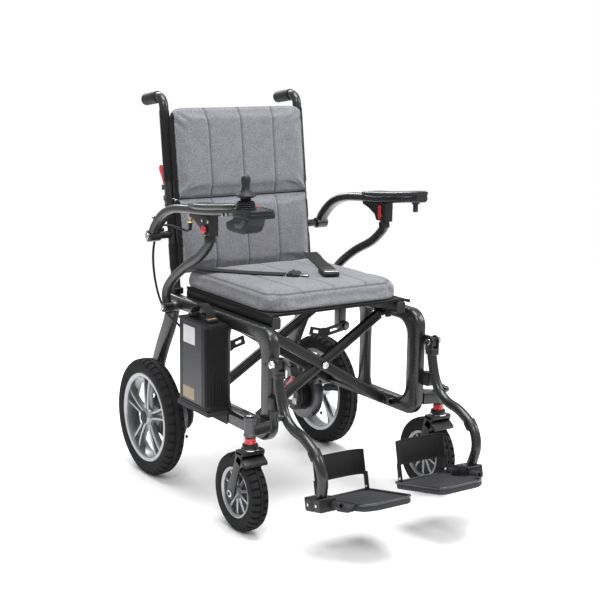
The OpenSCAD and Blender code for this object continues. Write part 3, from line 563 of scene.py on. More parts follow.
class Shape:
    """A mesh gathered from bevelled boxes, plates, lathed and swept solids."""

    def __init__(self, tilt: Matrix | None = None) -> None:
        """Starts empty; tilt places every solid that is added."""
        self.bm = bmesh.new()
        self.tilt = tilt or Matrix.Identity(4)
        self.slot = 0

    def add(self, part: bmesh.types.BMesh, place: Matrix | None = None) -> "Shape":
        """Takes a finished solid over and frees it."""
        bmesh.ops.recalc_face_normals(part, faces=part.faces)
        bmesh.ops.transform(part, matrix=self.tilt @ (place or Matrix.Identity(4)), verts=part.verts)
        for face in part.faces:
            face.material_index = self.slot
        mesh = bpy.data.meshes.new("part")
        part.to_mesh(mesh)
        self.bm.from_mesh(mesh)
        bpy.data.meshes.remove(mesh)
        part.free()
        return self

    def box(self, low: Point, high: Point, bevel: float = 1.5, segments: int = 3) -> "Shape":
        """Adds a box between two corners with rounded edges."""
        part = bmesh.new()
        lo, hi = Vector(low), Vector(high)
        place = Matrix.Translation((lo + hi) / 2) @ Matrix.Diagonal((*(hi - lo), 1.0))
        bmesh.ops.create_cube(part, size=1.0, matrix=place)
        self.soften(part, part.edges[:], bevel, segments)
        return self.add(part)

    @staticmethod
    def soften(part: bmesh.types.BMesh, edges: list[bmesh.types.BMEdge], bevel: float, segments: int = 3) -> None:
        """Rounds the given edges."""
        if bevel > 0:
            bmesh.ops.bevel(part, geom=edges, offset=bevel, segments=segments, profile=0.5,
                            affect="EDGES", material=-1, clamp_overlap=True)

    def prism(self, outline: Iterable[Point], height: float, place: Matrix, bevel: float = 2.0,
              segments: int = 3) -> "Shape":
        """Adds an outline drawn in XY and pulled up along Z.

        Args:
            outline: its points in order.
            height: how far it is pulled.
            place: where the prism then goes.
            bevel: rounding of its two rims.
            segments: steps of that rounding.

        Returns:
            The shape itself.
        """
        part = bmesh.new()
        face = part.faces.new([part.verts.new((p[0], p[1], 0.0)) for p in outline])
        grown = bmesh.ops.extrude_face_region(part, geom=[face])["geom"]
        bmesh.ops.translate(part, vec=(0, 0, height), verts=[v for v in grown if isinstance(v, bmesh.types.BMVert)])
        bmesh.ops.recalc_face_normals(part, faces=part.faces)
        rims = [e for e in part.edges if abs(e.verts[0].co.z - e.verts[1].co.z) < 1e-6]
        self.soften(part, rims, bevel, segments)
        return self.add(part, place)

    def plate(self, outline: Iterable[Point], x: float, width: float, bevel: float = 2.0,
              segments: int = 3) -> "Shape":
        """Adds an outline drawn in the side plane (y, z), from x to x + width."""
        place = Matrix(((0, 0, 1, x), (1, 0, 0, 0), (0, 1, 0, 0), (0, 0, 0, 1)))
        return self.prism(outline, width, place, bevel, segments)

    def slab(self, outline: Iterable[Point], z: float, height: float, bevel: float = 2.0,
             segments: int = 3) -> "Shape":
        """Adds an outline drawn in plan (x, y), from z up."""
        return self.prism(outline, height, Matrix.Translation((0, 0, z)), bevel, segments)

    def lathe(self, profile: Sequence[Point], centre: Point, axis: Point = (1, 0, 0), steps: int = 48,
              closed: bool = True) -> "Shape":
        """Turns a profile about an axis.

        Args:
            profile: points as (radius, distance along the axis).
            centre: where the axis starts.
            axis: its direction.
            steps: facets round it.
            closed: whether the profile's last point joins its first.

        Returns:
            The shape itself.
        """
        part = bmesh.new()
        verts = [part.verts.new((r, 0, h)) for r, h in profile]
        pairs = list(zip(verts, verts[1:])) + ([(verts[-1], verts[0])] if closed else [])
        edges = [part.edges.new(pair) for pair in pairs]
        bmesh.ops.spin(part, geom=verts + edges, cent=(0, 0, 0), axis=(0, 0, 1), dvec=(0, 0, 0),
                       angle=math.tau, steps=steps, use_merge=True, use_duplicate=False)
        bmesh.ops.remove_doubles(part, verts=part.verts, dist=1e-4)
        turn = Vector((0, 0, 1)).rotation_difference(Vector(axis)).to_matrix().to_4x4()
        return self.add(part, Matrix.Translation(centre) @ turn)

    def rod(self, start: Point, end: Point, radius: float, bevel: float = 0.8, steps: int = 32) -> "Shape":
        """Adds a round bar between two points with softened ends."""
        a, b = Vector(start), Vector(end)
        h, c = (b - a).length, min(bevel, radius / 2)
        profile = [(0, 0), (radius - c, 0), (radius - c * 0.3, c * 0.3), (radius, c),
                   (radius, h - c), (radius - c * 0.3, h - c * 0.3), (radius - c, h), (0, h)]
        return self.lathe(profile, a, (b - a).normalized(), steps, closed=False)

    def sweep(self, path: Sequence[Vector], section: Sequence[Point], scales: Sequence[float] | None = None,
              across: Point = (1, 0, 0)) -> "Shape":
        """Carries a section along a path.

        Args:
            path: the path's points.
            section: points as (across, along the path's own normal).
            scales: the section's scale at each point.
            across: the direction that the section's first axis keeps to.

        Returns:
            The shape itself.
        """
        part = bmesh.new()
        frames = [self._frame(path, i, Vector(across), scales[i] if scales else 1.0) for i in range(len(path))]
        verts = [part.verts.new(frames[0] @ Vector((a, b, 0))) for a, b in section]
        ring = [part.edges.new((verts[i], verts[(i + 1) % len(verts)])) for i in range(len(verts))]
        bmesh.ops.contextual_create(part, geom=ring)
        for before, after in zip(frames, frames[1:]):
            grown = bmesh.ops.extrude_edge_only(part, edges=ring)["geom"]
            ring = [e for e in grown if isinstance(e, bmesh.types.BMEdge) and len(e.link_faces) == 1]
            verts = [v for v in grown if isinstance(v, bmesh.types.BMVert)]
            bmesh.ops.transform(part, matrix=after @ before.inverted(), verts=verts)
        bmesh.ops.contextual_create(part, geom=ring)
        return self.add(part)

    @staticmethod
    def _frame(path: Sequence[Vector], i: int, across: Vector, scale: float) -> Matrix:
        """The section's placement at one point of a path."""
        d = (path[min(i + 1, len(path) - 1)] - path[max(i - 1, 0)]).normalized()
        side = across - across.dot(d) * d
        side = side.normalized() if side.length > 0.05 else d.orthogonal().normalized()
        frame = Matrix((side, d.cross(side), d)).transposed().to_4x4()
        return Matrix.Translation(path[i]) @ frame @ Matrix.Scale(scale, 4)

    def take(self, other: "Shape") -> None:
        """Moves another shape's faces into this one."""
        mesh = bpy.data.meshes.new("part")
        other.bm.to_mesh(mesh)
        self.bm.from_mesh(mesh)
        bpy.data.meshes.remove(mesh)
        other.bm.free()

    def sink(self, centre: Point, radius: float, depth: float, band: tuple[float, float], steps: int) -> None:
        """Presses in every third shoulder face of a lathed tyre, which leaves tread blocks.

        Args:
            centre: the tyre's middle.
            radius: its outer radius.
            depth: how far the faces go in, towards the axle.
            band: nearest and farthest distance of such a face from the middle plane.
            steps: facets round the tyre.
        """
        middle = Vector(centre)
        picked = []
        for face in self.bm.faces:
            m = face.calc_center_median() - middle
            turn = int((math.atan2(m.z, m.y) / math.tau % 1.0) * steps)
            shift = 0 if m.x > 0 else 1
            outside = math.hypot(m.y, m.z) > radius - 15
            if band[0] < abs(m.x) < band[1] and outside and (turn + shift) % 3 == 0:
                picked.append(face)
        for face in bmesh.ops.extrude_discrete_faces(self.bm, faces=picked)["faces"]:
            for vert in face.verts:
                d = vert.co - middle
                vert.co -= Vector((0, d.y, d.z)).normalized() * depth
                vert.co.x = middle.x + d.x * 0.985

    def use(self, slot: int) -> "Shape":
        """Gives the solids added from here on another of the piece's materials."""
        self.slot = slot
        return self


@dataclass
class Workshop:
    """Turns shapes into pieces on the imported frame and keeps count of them."""

    axle_y: float
    made: list[str] = field(default_factory=list)

    def piece(self, name: str, shape: Shape, finishes: Finish | Sequence[Finish], side: Side, body: str,
              nodes: Sequence[str] = (), slot: str = "", crease: float = 35.0) -> bpy.types.Object:
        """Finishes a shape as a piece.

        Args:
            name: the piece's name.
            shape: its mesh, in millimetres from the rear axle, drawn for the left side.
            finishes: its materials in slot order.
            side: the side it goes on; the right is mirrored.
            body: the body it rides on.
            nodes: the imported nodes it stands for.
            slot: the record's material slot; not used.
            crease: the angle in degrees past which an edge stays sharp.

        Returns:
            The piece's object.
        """
        place = Matrix.Diagonal((side.value * MM, MM, MM, 1.0)) @ Matrix.Translation((0, self.axle_y, 0))
        bmesh.ops.transform(shape.bm, matrix=place, verts=shape.bm.verts)
        if side is Side.RIGHT:
            bmesh.ops.reverse_faces(shape.bm, faces=shape.bm.faces)
        mesh = bpy.data.meshes.new(name)
        shape.bm.to_mesh(mesh)
        shape.bm.free()
        for finish in [finishes] if isinstance(finishes, Finish) else finishes:
            mesh.materials.append(finish.material())
        mesh.polygons.foreach_set("use_smooth", [True] * len(mesh.polygons))
        mesh.set_sharp_from_angle(angle=math.radians(crease))
        obj = bpy.data.objects.new(name, mesh)
        bpy.context.scene.collection.objects.link(obj)
        if body:
            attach(obj, body)
        if nodes:
            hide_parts(*nodes)
        self.made.append(name)
        LOG.info("%s: %d faces", name, len(mesh.polygons))
        return obj

    def dress(self, frame: dict[str, Any], node: str, finish: Finish) -> None:
        """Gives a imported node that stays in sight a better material."""
        obj = frame["nodes"][node]
        obj.data.materials.clear()
        obj.data.materials.append(finish.material())
        LOG.info("%s: dressed in %s", node, finish.name)


@dataclass
class Sided:
    """A sub-assembly that is made once for each side."""

    shop: Workshop
    side: Side

    def piece(self, name: str, shape: Shape, finishes: Finish | Sequence[Finish], body: str, node: str = "",
              slot: str = "", crease: float = 35.0) -> bpy.types.Object:
        """Finishes a shape as this side's piece.

        Args:
            name: the piece's name, in which, as in body and node, * is the side's word.
            shape: its mesh, drawn for the left side.
            finishes: its materials in slot order.
            body: the body it rides on.
            node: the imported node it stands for.
            slot: the record's material slot.
            crease: the angle in degrees past which an edge stays sharp.

        Returns:
            The piece's object.
        """
        name, body, node = (text.replace("*", self.side.word) for text in (name, body, node))
        return self.shop.piece(name, shape, finishes, self.side, body, (node,) if node else (), slot, crease)


def narrow(obj: bpy.types.Object, half: float = CUSHION_HALF) -> None:
    """Gives a soft piece its own copy of its mesh.

    Args:
        obj: the piece.
        half: how far the piece's right edge is from the middle, in millimetres; not used.
    """
    -half * MM
    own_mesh(obj)


# ---- frame ----


@dataclass
class SideFrame(Sided):
    """One side of the frame with its strut, motor bracket, motor and caster stem housing."""

    inner: float = 200.0
    outer: float = 230.0
    front: float = -520.0
    top: float = 485.0
    bottom: float = 212.0
    rail_h: float = 34.0
    low_rail_h: float = 36.0
    upright: float = 46.0
    stem: tuple[float, float] = (279.0, -515.0)

    def build(self) -> None:
        """Makes the side's fixed pieces."""
        self.frame()
        self.housing()
        self.strut()
        self.bracket()
        self.motor()

    def frame(self) -> None:
        """Makes the rails, upright, stay and stub tube in moulded carbon."""
        f, g = self.front, self.front + self.upright
        top_under, low_face = self.top - self.rail_h, self.bottom + self.low_rail_h
        outline = [
            (0, self.top), *arc((f + 44, self.top - 44), 44, 90, 180, 10),
            *arc((f + 44, self.bottom + 44), 44, 180, 270, 10), (-135, self.bottom), (-135, low_face),
            *arc((g + 38, low_face + 38), 38, 270, 180, 8), *arc((g + 38, top_under - 38), 38, 180, 90, 8),
            (0, top_under),
        ]
        shape = Shape().plate(outline, self.inner, self.outer - self.inner, 9.0, 4)
        stay = [Vector((215, -285, z)) for z in (low_face - 3, low_face + 6, low_face + 20, 340, top_under - 20,
                                                 top_under - 6, top_under + 3)]
        shape.sweep(stay, oval(18, 42, 8), [1.25, 1.12, 1.0, 0.94, 1.0, 1.12, 1.25])
        shape.box((200, -188, 371), (222, -158, top_under + 2), 5)
        shape.use(1).box((206, -2, 455), (224, 2.5, 481), 1.2)
        for y in (-434, -135.4):
            shape.box((179.5, y, 225.5), (201, y + 7.6, 242.5), 1.5)
        shape.rod((188, -434, 234), (188, -128, 234), 6).rod((214, -196.6, 383), (214, -180, 383), 5)
        shape.rod((214, -199.5, 383), (214, -197.8, 383), 8.5).rod((229, -72, 463), (248, -72, 463), 13.5, 2)
        for y, z in ((-440, 468), (-150, 468), (-300, 230), (-497, 400)):
            shape.rod((229.5, y, z), (232.0, y, z), 4.6, 0.8, 20)
        shape.use(2).box((219, -559, 401), (231, -516, 423), 1.5).rod((203.5, -548, 412), (246.5, -548, 412), 5.9)
        shape.box((214, -547, 297), (236, -517, 331), 3)
        self.piece("side_frame_shell_*", shape, (CARBON, GREY_METAL, BLACK_METAL), "*_side", "side_frame_*",
                   "carbon")

    def housing(self) -> None:
        """Makes the caster's stem housing and its triangular gusset."""
        x, y = self.stem
        shape = Shape()
        shape.slab([(228, y + 56), (228, y - 6), (x - 3, y - 15), (x + 3, y), (x - 3, y + 15)], 241, 31, 4)
        shape.use(1).lathe([(8.4, 240), (15.2, 240), (16, 241), (16, 246), (14.8, 247.5), (14.8, 279), (16, 280.5),
                            (16, 285), (15.2, 286), (8.4, 286)], (x, y, 0), (0, 0, 1), 40)
        self.piece("stem_housing_*", shape, (CARBON, GREY_METAL), "*_side", slot="carbon")

    def strut(self) -> None:
        """Makes the bent strut from the top rail to the motor bracket."""
        path = smooth_path([(215, -20, 452), (215, -14, 432), (215, 4, 392), (215, 40, 331), (215, 68, 273),
                            (215, 77, 236), (215, 78, 215)], 4)
        shape = Shape().sweep(path, oval(26, 45, 11, 4))
        shape.use(1).rod((227, -21, 435), (233, -21, 435), 9, 1.5).rod((232.5, -21, 435), (234.5, -21, 435), 4.6)
        shape.box((200.5, 52, 214.5), (229.5, 103, 224), 2.5)
        self.piece("strut_shell_*", shape, (STEEL_CARBON, GREY_METAL), "*_side", "rear_strut_*", "carbon")

    def bracket(self) -> None:
        """Makes the arm and U-shaped ring that hold the motor."""
        z, inner = AXLE_Z, 49.4
        ring = [*arc((0, z), 75, 152, 388, 40), (101, 213), (56, 213), (44, z + 24),
                *arc((0, z), inner, 24, -204, 40), (-46, z + 28), (-60, z + 46), (-135, 247), (-135, 213)]
        shape = Shape().plate(ring, 202, 26, 2.5)
        shape.use(1)
        for y, h in ((-118, 224), (-96, 206), (88, 200), (66, 112), (-64, 104)):
            shape.rod((227.5, y, h), (231.5, y, h), 5.2, 1.0, 6)
            shape.rod((198.5, y, h), (202.5, y, h), 5.2, 1.0, 6)
        self.piece("motor_bracket_shell_*", shape, (BRACKET, BLACK_METAL), "*_side", "motor_bracket_*",
                   "grey_metal", 30)

    def motor(self) -> None:
        """Makes the gear motor with its cooling rings, end cap and flange."""
        c = (0, 0, AXLE_Z)
        rings: list[Point] = [(8.3, 165.5), (40, 165.5), (44, 168), (44.5, 171), (48, 172), (49, 174)]
        for i in range(5):
            x = 178 + i * 5
            rings += [(49, x), (46.4, x + 0.8), (46.4, x + 2.2), (49, x + 3)]
        rings += [(49, 230.3), (53, 231), (56, 233), (56, 239.5), (54, 243.6), (30, 243.9), (8.3, 243.9)]
        shape = Shape().lathe(rings, c, (1, 0, 0), 56)
        shape.use(1).lathe([(9, 164.5), (17, 164.5), (18.5, 165.6), (9, 165.6)], (0, 0, AXLE_Z), (1, 0, 0), 32)
        for a in range(0, 360, 60):
            y, z = 36 * math.cos(math.radians(a + 30)), 36 * math.sin(math.radians(a + 30))
            if a != 60:
                shape.rod((163.8, y, AXLE_Z + z), (166, y, AXLE_Z + z), 3.2, 0.6, 6)
        shape.use(2).plate([(-34, AXLE_Z - 26), (-12, AXLE_Z - 26), (-12, AXLE_Z - 8), (-34, AXLE_Z - 8)],
                           164.9, 0.7, 0.2)
        self.piece("motor_shell_*", shape, (MOTOR, BRIGHT, LABEL), "*_side", "motor_*", "motor_metal", 28)


# ---- wheels ----


@dataclass
class DriveWheel(Sided):
    """A driven rear wheel: cast rim with double spokes, and a grooved tyre."""

    x: float = 273.0
    radius: float = 155.0
    seat: float = 119.0
    spokes: int = 5

    def build(self) -> None:
        """Makes the rim and the tyre."""
        self.rim()
        self.tyre()

    def rim(self) -> None:
        """Makes the rim's rings, the spokes with their ribs, and the hub cap."""
        c, r = (self.x, 0, AXLE_Z), self.seat
        shape = Shape().lathe([(r - 13, -17), (r - 10, -20), (r - 2, -21.5), (r, -20), (r, 20), (r - 2, 21.5),
                               (r - 10, 20), (r - 13, 17), (r - 14, 8), (r - 14, -8)], c, (1, 0, 0), 72)
        for i in range(self.spokes):
            turn = Matrix.Translation(c) @ Matrix.Rotation(math.tau * i / self.spokes, 4, "X")
            for s in (-1, 1):
                rib = Shape(turn).sweep(
                    [Vector((x, s * w, h)) for x, w, h in ((3, 5.5, 16), (5, 7, 34), (6, 9, 60), (5, 12.5, 86),
                                                           (2, 17, 107))],
                    oval(19, 7.5, 2.6), [1.12, 1.0, 0.92, 0.96, 1.15])
                shape.take(rib)
            web = Shape(turn).plate([(-5, 24), (5, 24), (8, 84), (12, 104), (-12, 104), (-8, 84)], -5, 6, 1.0)
            shape.take(web)
        shape.lathe([(0, 22), (14, 22), (17.5, 20), (22, 15), (26, 6), (26, -16), (22, -20), (0, -20)], c,
                    (1, 0, 0), 48, False)
        shape.use(1).lathe([(0, 25), (9, 24.8), (15, 23.6), (17, 21.4), (17, 19), (0, 19)], c, (1, 0, 0), 40, False)
        shape.rod((214.5, 0, AXLE_Z), (self.x - 18, 0, AXLE_Z), 7.9)
        self.piece("rear_wheel_rim_*", shape, (RIM, PLASTIC), "rear_wheel_*", "rear_rim_*", "rim", 32)

    def tyre(self) -> None:
        """Makes the tyre with two ring grooves and cut shoulder blocks."""
        r, s = self.radius, self.seat + 0.3
        profile = [(s, -20.5), (s + 4, -23), (r - 20, -25), (r - 12, -24.4), (r - 5, -20.5), (r - 1.2, -14.5),
                   (r - 0.6, -9), (r - 3.2, -8.4), (r - 3.2, -6.6), (r - 0.2, -6), (r, 0), (r - 0.2, 6),
                   (r - 3.2, 6.6), (r - 3.2, 8.4), (r - 0.6, 9), (r - 1.2, 14.5), (r - 5, 20.5), (r - 12, 24.4),
                   (r - 20, 25), (s + 4, 23), (s, 20.5)]
        shape = Shape().lathe(profile, (self.x, 0, AXLE_Z), (1, 0, 0), 120)
        shape.sink((self.x, 0, AXLE_Z), r, 2.2, (9.0, 24.5), 120)
        self.piece("rear_wheel_tyre_*", shape, TYRE, "rear_wheel_*", "rear_tyre_*", "tyre", 30)


@dataclass
class Caster(Sided):
    """A swivelling front wheel in its fork."""

    x: float = 279.0
    stem_y: float = -515.0
    axle: tuple[float, float] = (-477.0, 95.0)
    radius: float = 95.0
    seat: float = 62.0
    leg_x: float = 26.5
    leg_t: float = 5.0
    crown: float = 197.0

    def build(self) -> None:
        """Makes the fork, the rim and the tyre."""
        self.fork()
        self.wheel()

    def fork(self) -> None:
        """Makes the stem with its rings, the crown, legs and curved front guard."""
        x, y, z = self.x, self.stem_y, self.crown
        leg = [(y - 14, z + 11), (y + 15, z + 11), (y + 19, z - 14), (y + 30, z - 48), (y + 51, 116), (y + 52, 92),
               (y + 44, 79), (y + 32, 79), (y + 22, 92), (y + 6, z - 50), (y - 10, z - 20)]
        shape = Shape()
        half = self.leg_x + self.leg_t
        for left in (x - half, x + self.leg_x):
            shape.plate(leg, left, self.leg_t, 1.6)
        shape.box((x - half, y - 16, z), (x + half, y + 16, z + 12), 3.5)
        guard = [*arc(self.axle, 108.5, 110, 128, 8), *arc(self.axle, 102.6, 130, 110, 8)]
        shape.plate(guard, x - half, 2 * half, 2.4, 4)
        for s in (-1, 1):
            shape.plate([*arc(self.axle, 108.0, 108, 127, 6), *arc(self.axle, 88.0, 122, 104, 6)],
                        x + s * (half - 2.5) - 2.5, 5, 1.8)
        shape.lathe([(0, 12), (18, 12), (19, 13.5), (19, 22), (17.5, 25), (0, 25)], (x, y, z), (0, 0, 1), 40, False)
        shape.lathe([(0, 43.2), (11.2, 43.2), (12.4, 42.6), (12.4, 40), (0, 40)], (x, y, z), (0, 0, 1), 32, False)
        shape.use(1).lathe([(19.3, 8.4), (21.6, 9), (21.6, 11.2), (19.3, 12)], (x, y, z + 3), (0, 0, 1), 40)
        shape.rod((x - half - 3, *self.axle), (x + half + 3, *self.axle), 5.9)
        shape.lathe([(0, 0), (9, 0), (10.6, 2), (10.6, 5), (7, 7), (0, 7)], (x, y, 286.4), (0, 0, 1), 6, False)
        for s in (-1, 1):
            shape.lathe([(0, 0), (9, 0), (9, 2), (7.5, 3), (0, 3)], (x + s * half, *self.axle), (s, 0, 0), 28,
                        False)
        shape.use(2).lathe([(9, 25.2), (12.8, 25.2), (13.4, 26), (13.4, 31.6), (12.6, 32.4), (12.6, 33.2),
                            (13.2, 34), (13.2, 38.6), (12.4, 39.6), (9, 39.6)], (x, y, z), (0, 0, 1), 36)
        shape.use(0).rod((x, y, z + 20), (x, y, 288), 7.9)
        self.piece("caster_fork_shell_*", shape, (BLACK_METAL, BRIGHT, RED), "caster_fork_*", "caster_fork_*",
                   "black_metal")

    def wheel(self) -> None:
        """Makes the ribbed rim and the block-tread tyre."""
        c, s, r = (self.x, *self.axle), self.seat, self.radius
        shape = Shape().lathe([(s - 8, -16), (s - 5, -18.5), (s - 1, -19.5), (s, -18), (s, 18), (s - 1, 19.5),
                               (s - 5, 18.5), (s - 8, 16), (s - 9, 8), (s - 9, -8)], c, (1, 0, 0), 60)
        shape.use(1).lathe([(12, 8), (s - 8.5, 7), (s - 8.5, -7), (12, -8)], c, (1, 0, 0), 60)
        for i in range(10):
            turn = Matrix.Translation(c) @ Matrix.Rotation(math.tau * i / 10, 4, "X")
            shape.take(self._spoke(turn, s))
        shape.use(0).lathe([(6.1, -23), (11, -23), (13.5, -21), (16.5, -12), (16.5, 12), (13.5, 21), (11, 23),
                            (6.1, 23)],
                           c, (1, 0, 0), 40)
        self.piece("caster_rim_shell_*", shape, (RIM, PLASTIC), "caster_wheel_*", "caster_rim_*", "rim", 32)
        tyre = Shape().lathe([(s + 0.3, -18.5), (s + 4, -21.5), (r - 17, -23), (r - 10, -22), (r - 4, -18),
                              (r - 1.2, -12), (r - 0.4, -5), (r - 3, -4), (r - 3, -2.6), (r, -2), (r, 2),
                              (r - 3, 2.6), (r - 3, 4), (r - 0.4, 5), (r - 1.2, 12), (r - 4, 18), (r - 10, 22),
                              (r - 17, 23), (s + 4, 21.5), (s + 0.3, 18.5)],
                             c, (1, 0, 0), 96)
        tyre.sink(c, r, 3.0, (5.0, 22.5), 96)
        self.piece("caster_tyre_shell_*", tyre, CASTER_TYRE, "caster_wheel_*", "caster_tyre_*", "tyre", 30)

    @staticmethod
    def _spoke(turn: Matrix, seat: float) -> Shape:
        """One raised vane of the caster's rim, on both faces."""
        return Shape(turn).plate([(-4, 14), (4, 14), (3, seat - 12), (5, seat - 7), (-5, seat - 7),
                                  (-3, seat - 12)], -12, 24, 1.4)


# ---- braces and seat rails ----


@dataclass
class CrossBrace(Sided):
    """One brace of the scissor: a bar in each cross, joined by its hinge tube."""

    low: tuple[float, float] = (188.0, 234.0)
    high: tuple[float, float] = (184.0, 462.0)
    bar_t: float = 13.0
    bar_w: float = 26.0
    shift: float = 7.0

    def build(self) -> None:
        """Makes the brace; the left one also carries the cross bolts."""
        letter, sign = ("b", 1) if self.side is Side.LEFT else ("a", -1)
        shape = Shape()
        for y in CROSSES:
            self._bar(shape, y + sign * self.shift)
        shape.lathe([(6.1, 0), (10.4, 0), (11, 1), (11, 289), (10.4, 290), (6.1, 290)],
                    (-self.low[0], -426, self.low[1]), (0, 1, 0), 32)
        if letter == "b":
            for y in CROSSES:
                shape.use(1).rod((0, y - 16.4, PIVOT_Z), (0, y + 13.6, PIVOT_Z), 4.9)
                shape.lathe([(0, 0), (9, 0), (9, 2.4), (7.6, 3.6), (4, 3.7), (3.4, 2.6), (0, 2.6)],
                            (0, y - 13.9, PIVOT_Z), (0, -1, 0), 32, False)
                shape.lathe([(0, 0), (9, 0), (9, 2.6), (7.8, 3.8), (0, 3.8)], (0, y + 13.6, PIVOT_Z), (0, 1, 0), 6,
                            False)
        self.piece(f"brace_{letter}_bars", shape, (BLACK_METAL, BRIGHT, GREY_METAL), f"brace_{letter}",
                   f"brace_{letter}", "black_metal")

    def _bar(self, shape: Shape, y: float) -> None:
        """Adds one extruded bar with its grooves and its two eyes."""
        start, end = Vector((-self.low[0], y, self.low[1])), Vector((self.high[0], y, self.high[1]))
        along = (end - start).normalized()
        w, t = self.bar_w / 2, self.bar_t / 2
        section = [(-t, -w + 2), (-t + 2, -w), (t - 2, -w), (t, -w + 2), (t, -3.4), (t - 1.6, -2.6),
                   (t - 1.6, 2.6), (t, 3.4), (t, w - 2), (t - 2, w), (-t + 2, w), (-t, w - 2), (-t, 3.4),
                   (-t + 1.6, 2.6), (-t + 1.6, -2.6), (-t, -3.4)]
        shape.use(0).sweep([start + along * 9, end - along * 8.5], section, across=(0, 1, 0))
        shape.use(2)
        for s in (-1, 1):
            edge = [start + along * 12 + Vector((0, s * (t - 0.1), 0)),
                    end - along * 12 + Vector((0, s * (t - 0.1), 0))]
            for h in (-w + 3.4, w - 3.4):
                lift = Vector((-along.z, 0, along.x)) * h
                shape.sweep([p + lift for p in edge], oval(0.8, 1.1, 0.3, 1), across=(0, 1, 0))
        shape.use(0).lathe([(5.1, -t), (9.6, -t), (10, -t + 0.8), (10, t - 0.8), (9.6, t), (5.1, t)], tuple(end),
                           (0, 1, 0), 28)


@dataclass
class SeatRail(Sided):
    """A seat rail with its lugs, pins and end caps."""

    x: float = 184.0
    z: float = 487.0
    front: float = -474.0
    length: float = 416.0

    def build(self) -> None:
        """Makes the rail."""
        y0, y1 = self.front, self.front + self.length
        path = [Vector((self.x, y0 + d, self.z)) for d in (4,
                                                           12)] + [Vector((self.x, y1 - d, self.z)) for d in (12,
                                                           4)]
        shape = Shape().sweep(path, oval(26, 30, 6))
        shape.use(1)
        for y, s in ((y0, 1), (y1, -1)):
            shape.sweep([Vector((self.x, y + s * d, self.z)) for d in (0, 1.2, 5)], oval(25.4, 29.4, 6),
                        [0.9, 0.98, 1.0])
        for y in CROSSES:
            for s in (-1, 1):
                shape.box((self.x - 8, y + s * 23 - 4, 454), (self.x + 8, y + s * 23 + 4, 474), 2.5)
            shape.rod((self.x, y - 27.6, 462), (self.x, y + 27.6, 462), 4.9)
        self.piece("seat_rail_shell_*", shape, (BLACK_METAL, PLASTIC), "seat_rail_*", "seat_rail_*", "black_metal")


# ---- back ----


def post_y(z: float) -> float:
    """Where the leaning back posts' middle lies along Y at a height."""
    return POST_FOOT[0] + (z - POST_FOOT[1]) * math.tan(math.radians(POST_LEAN))


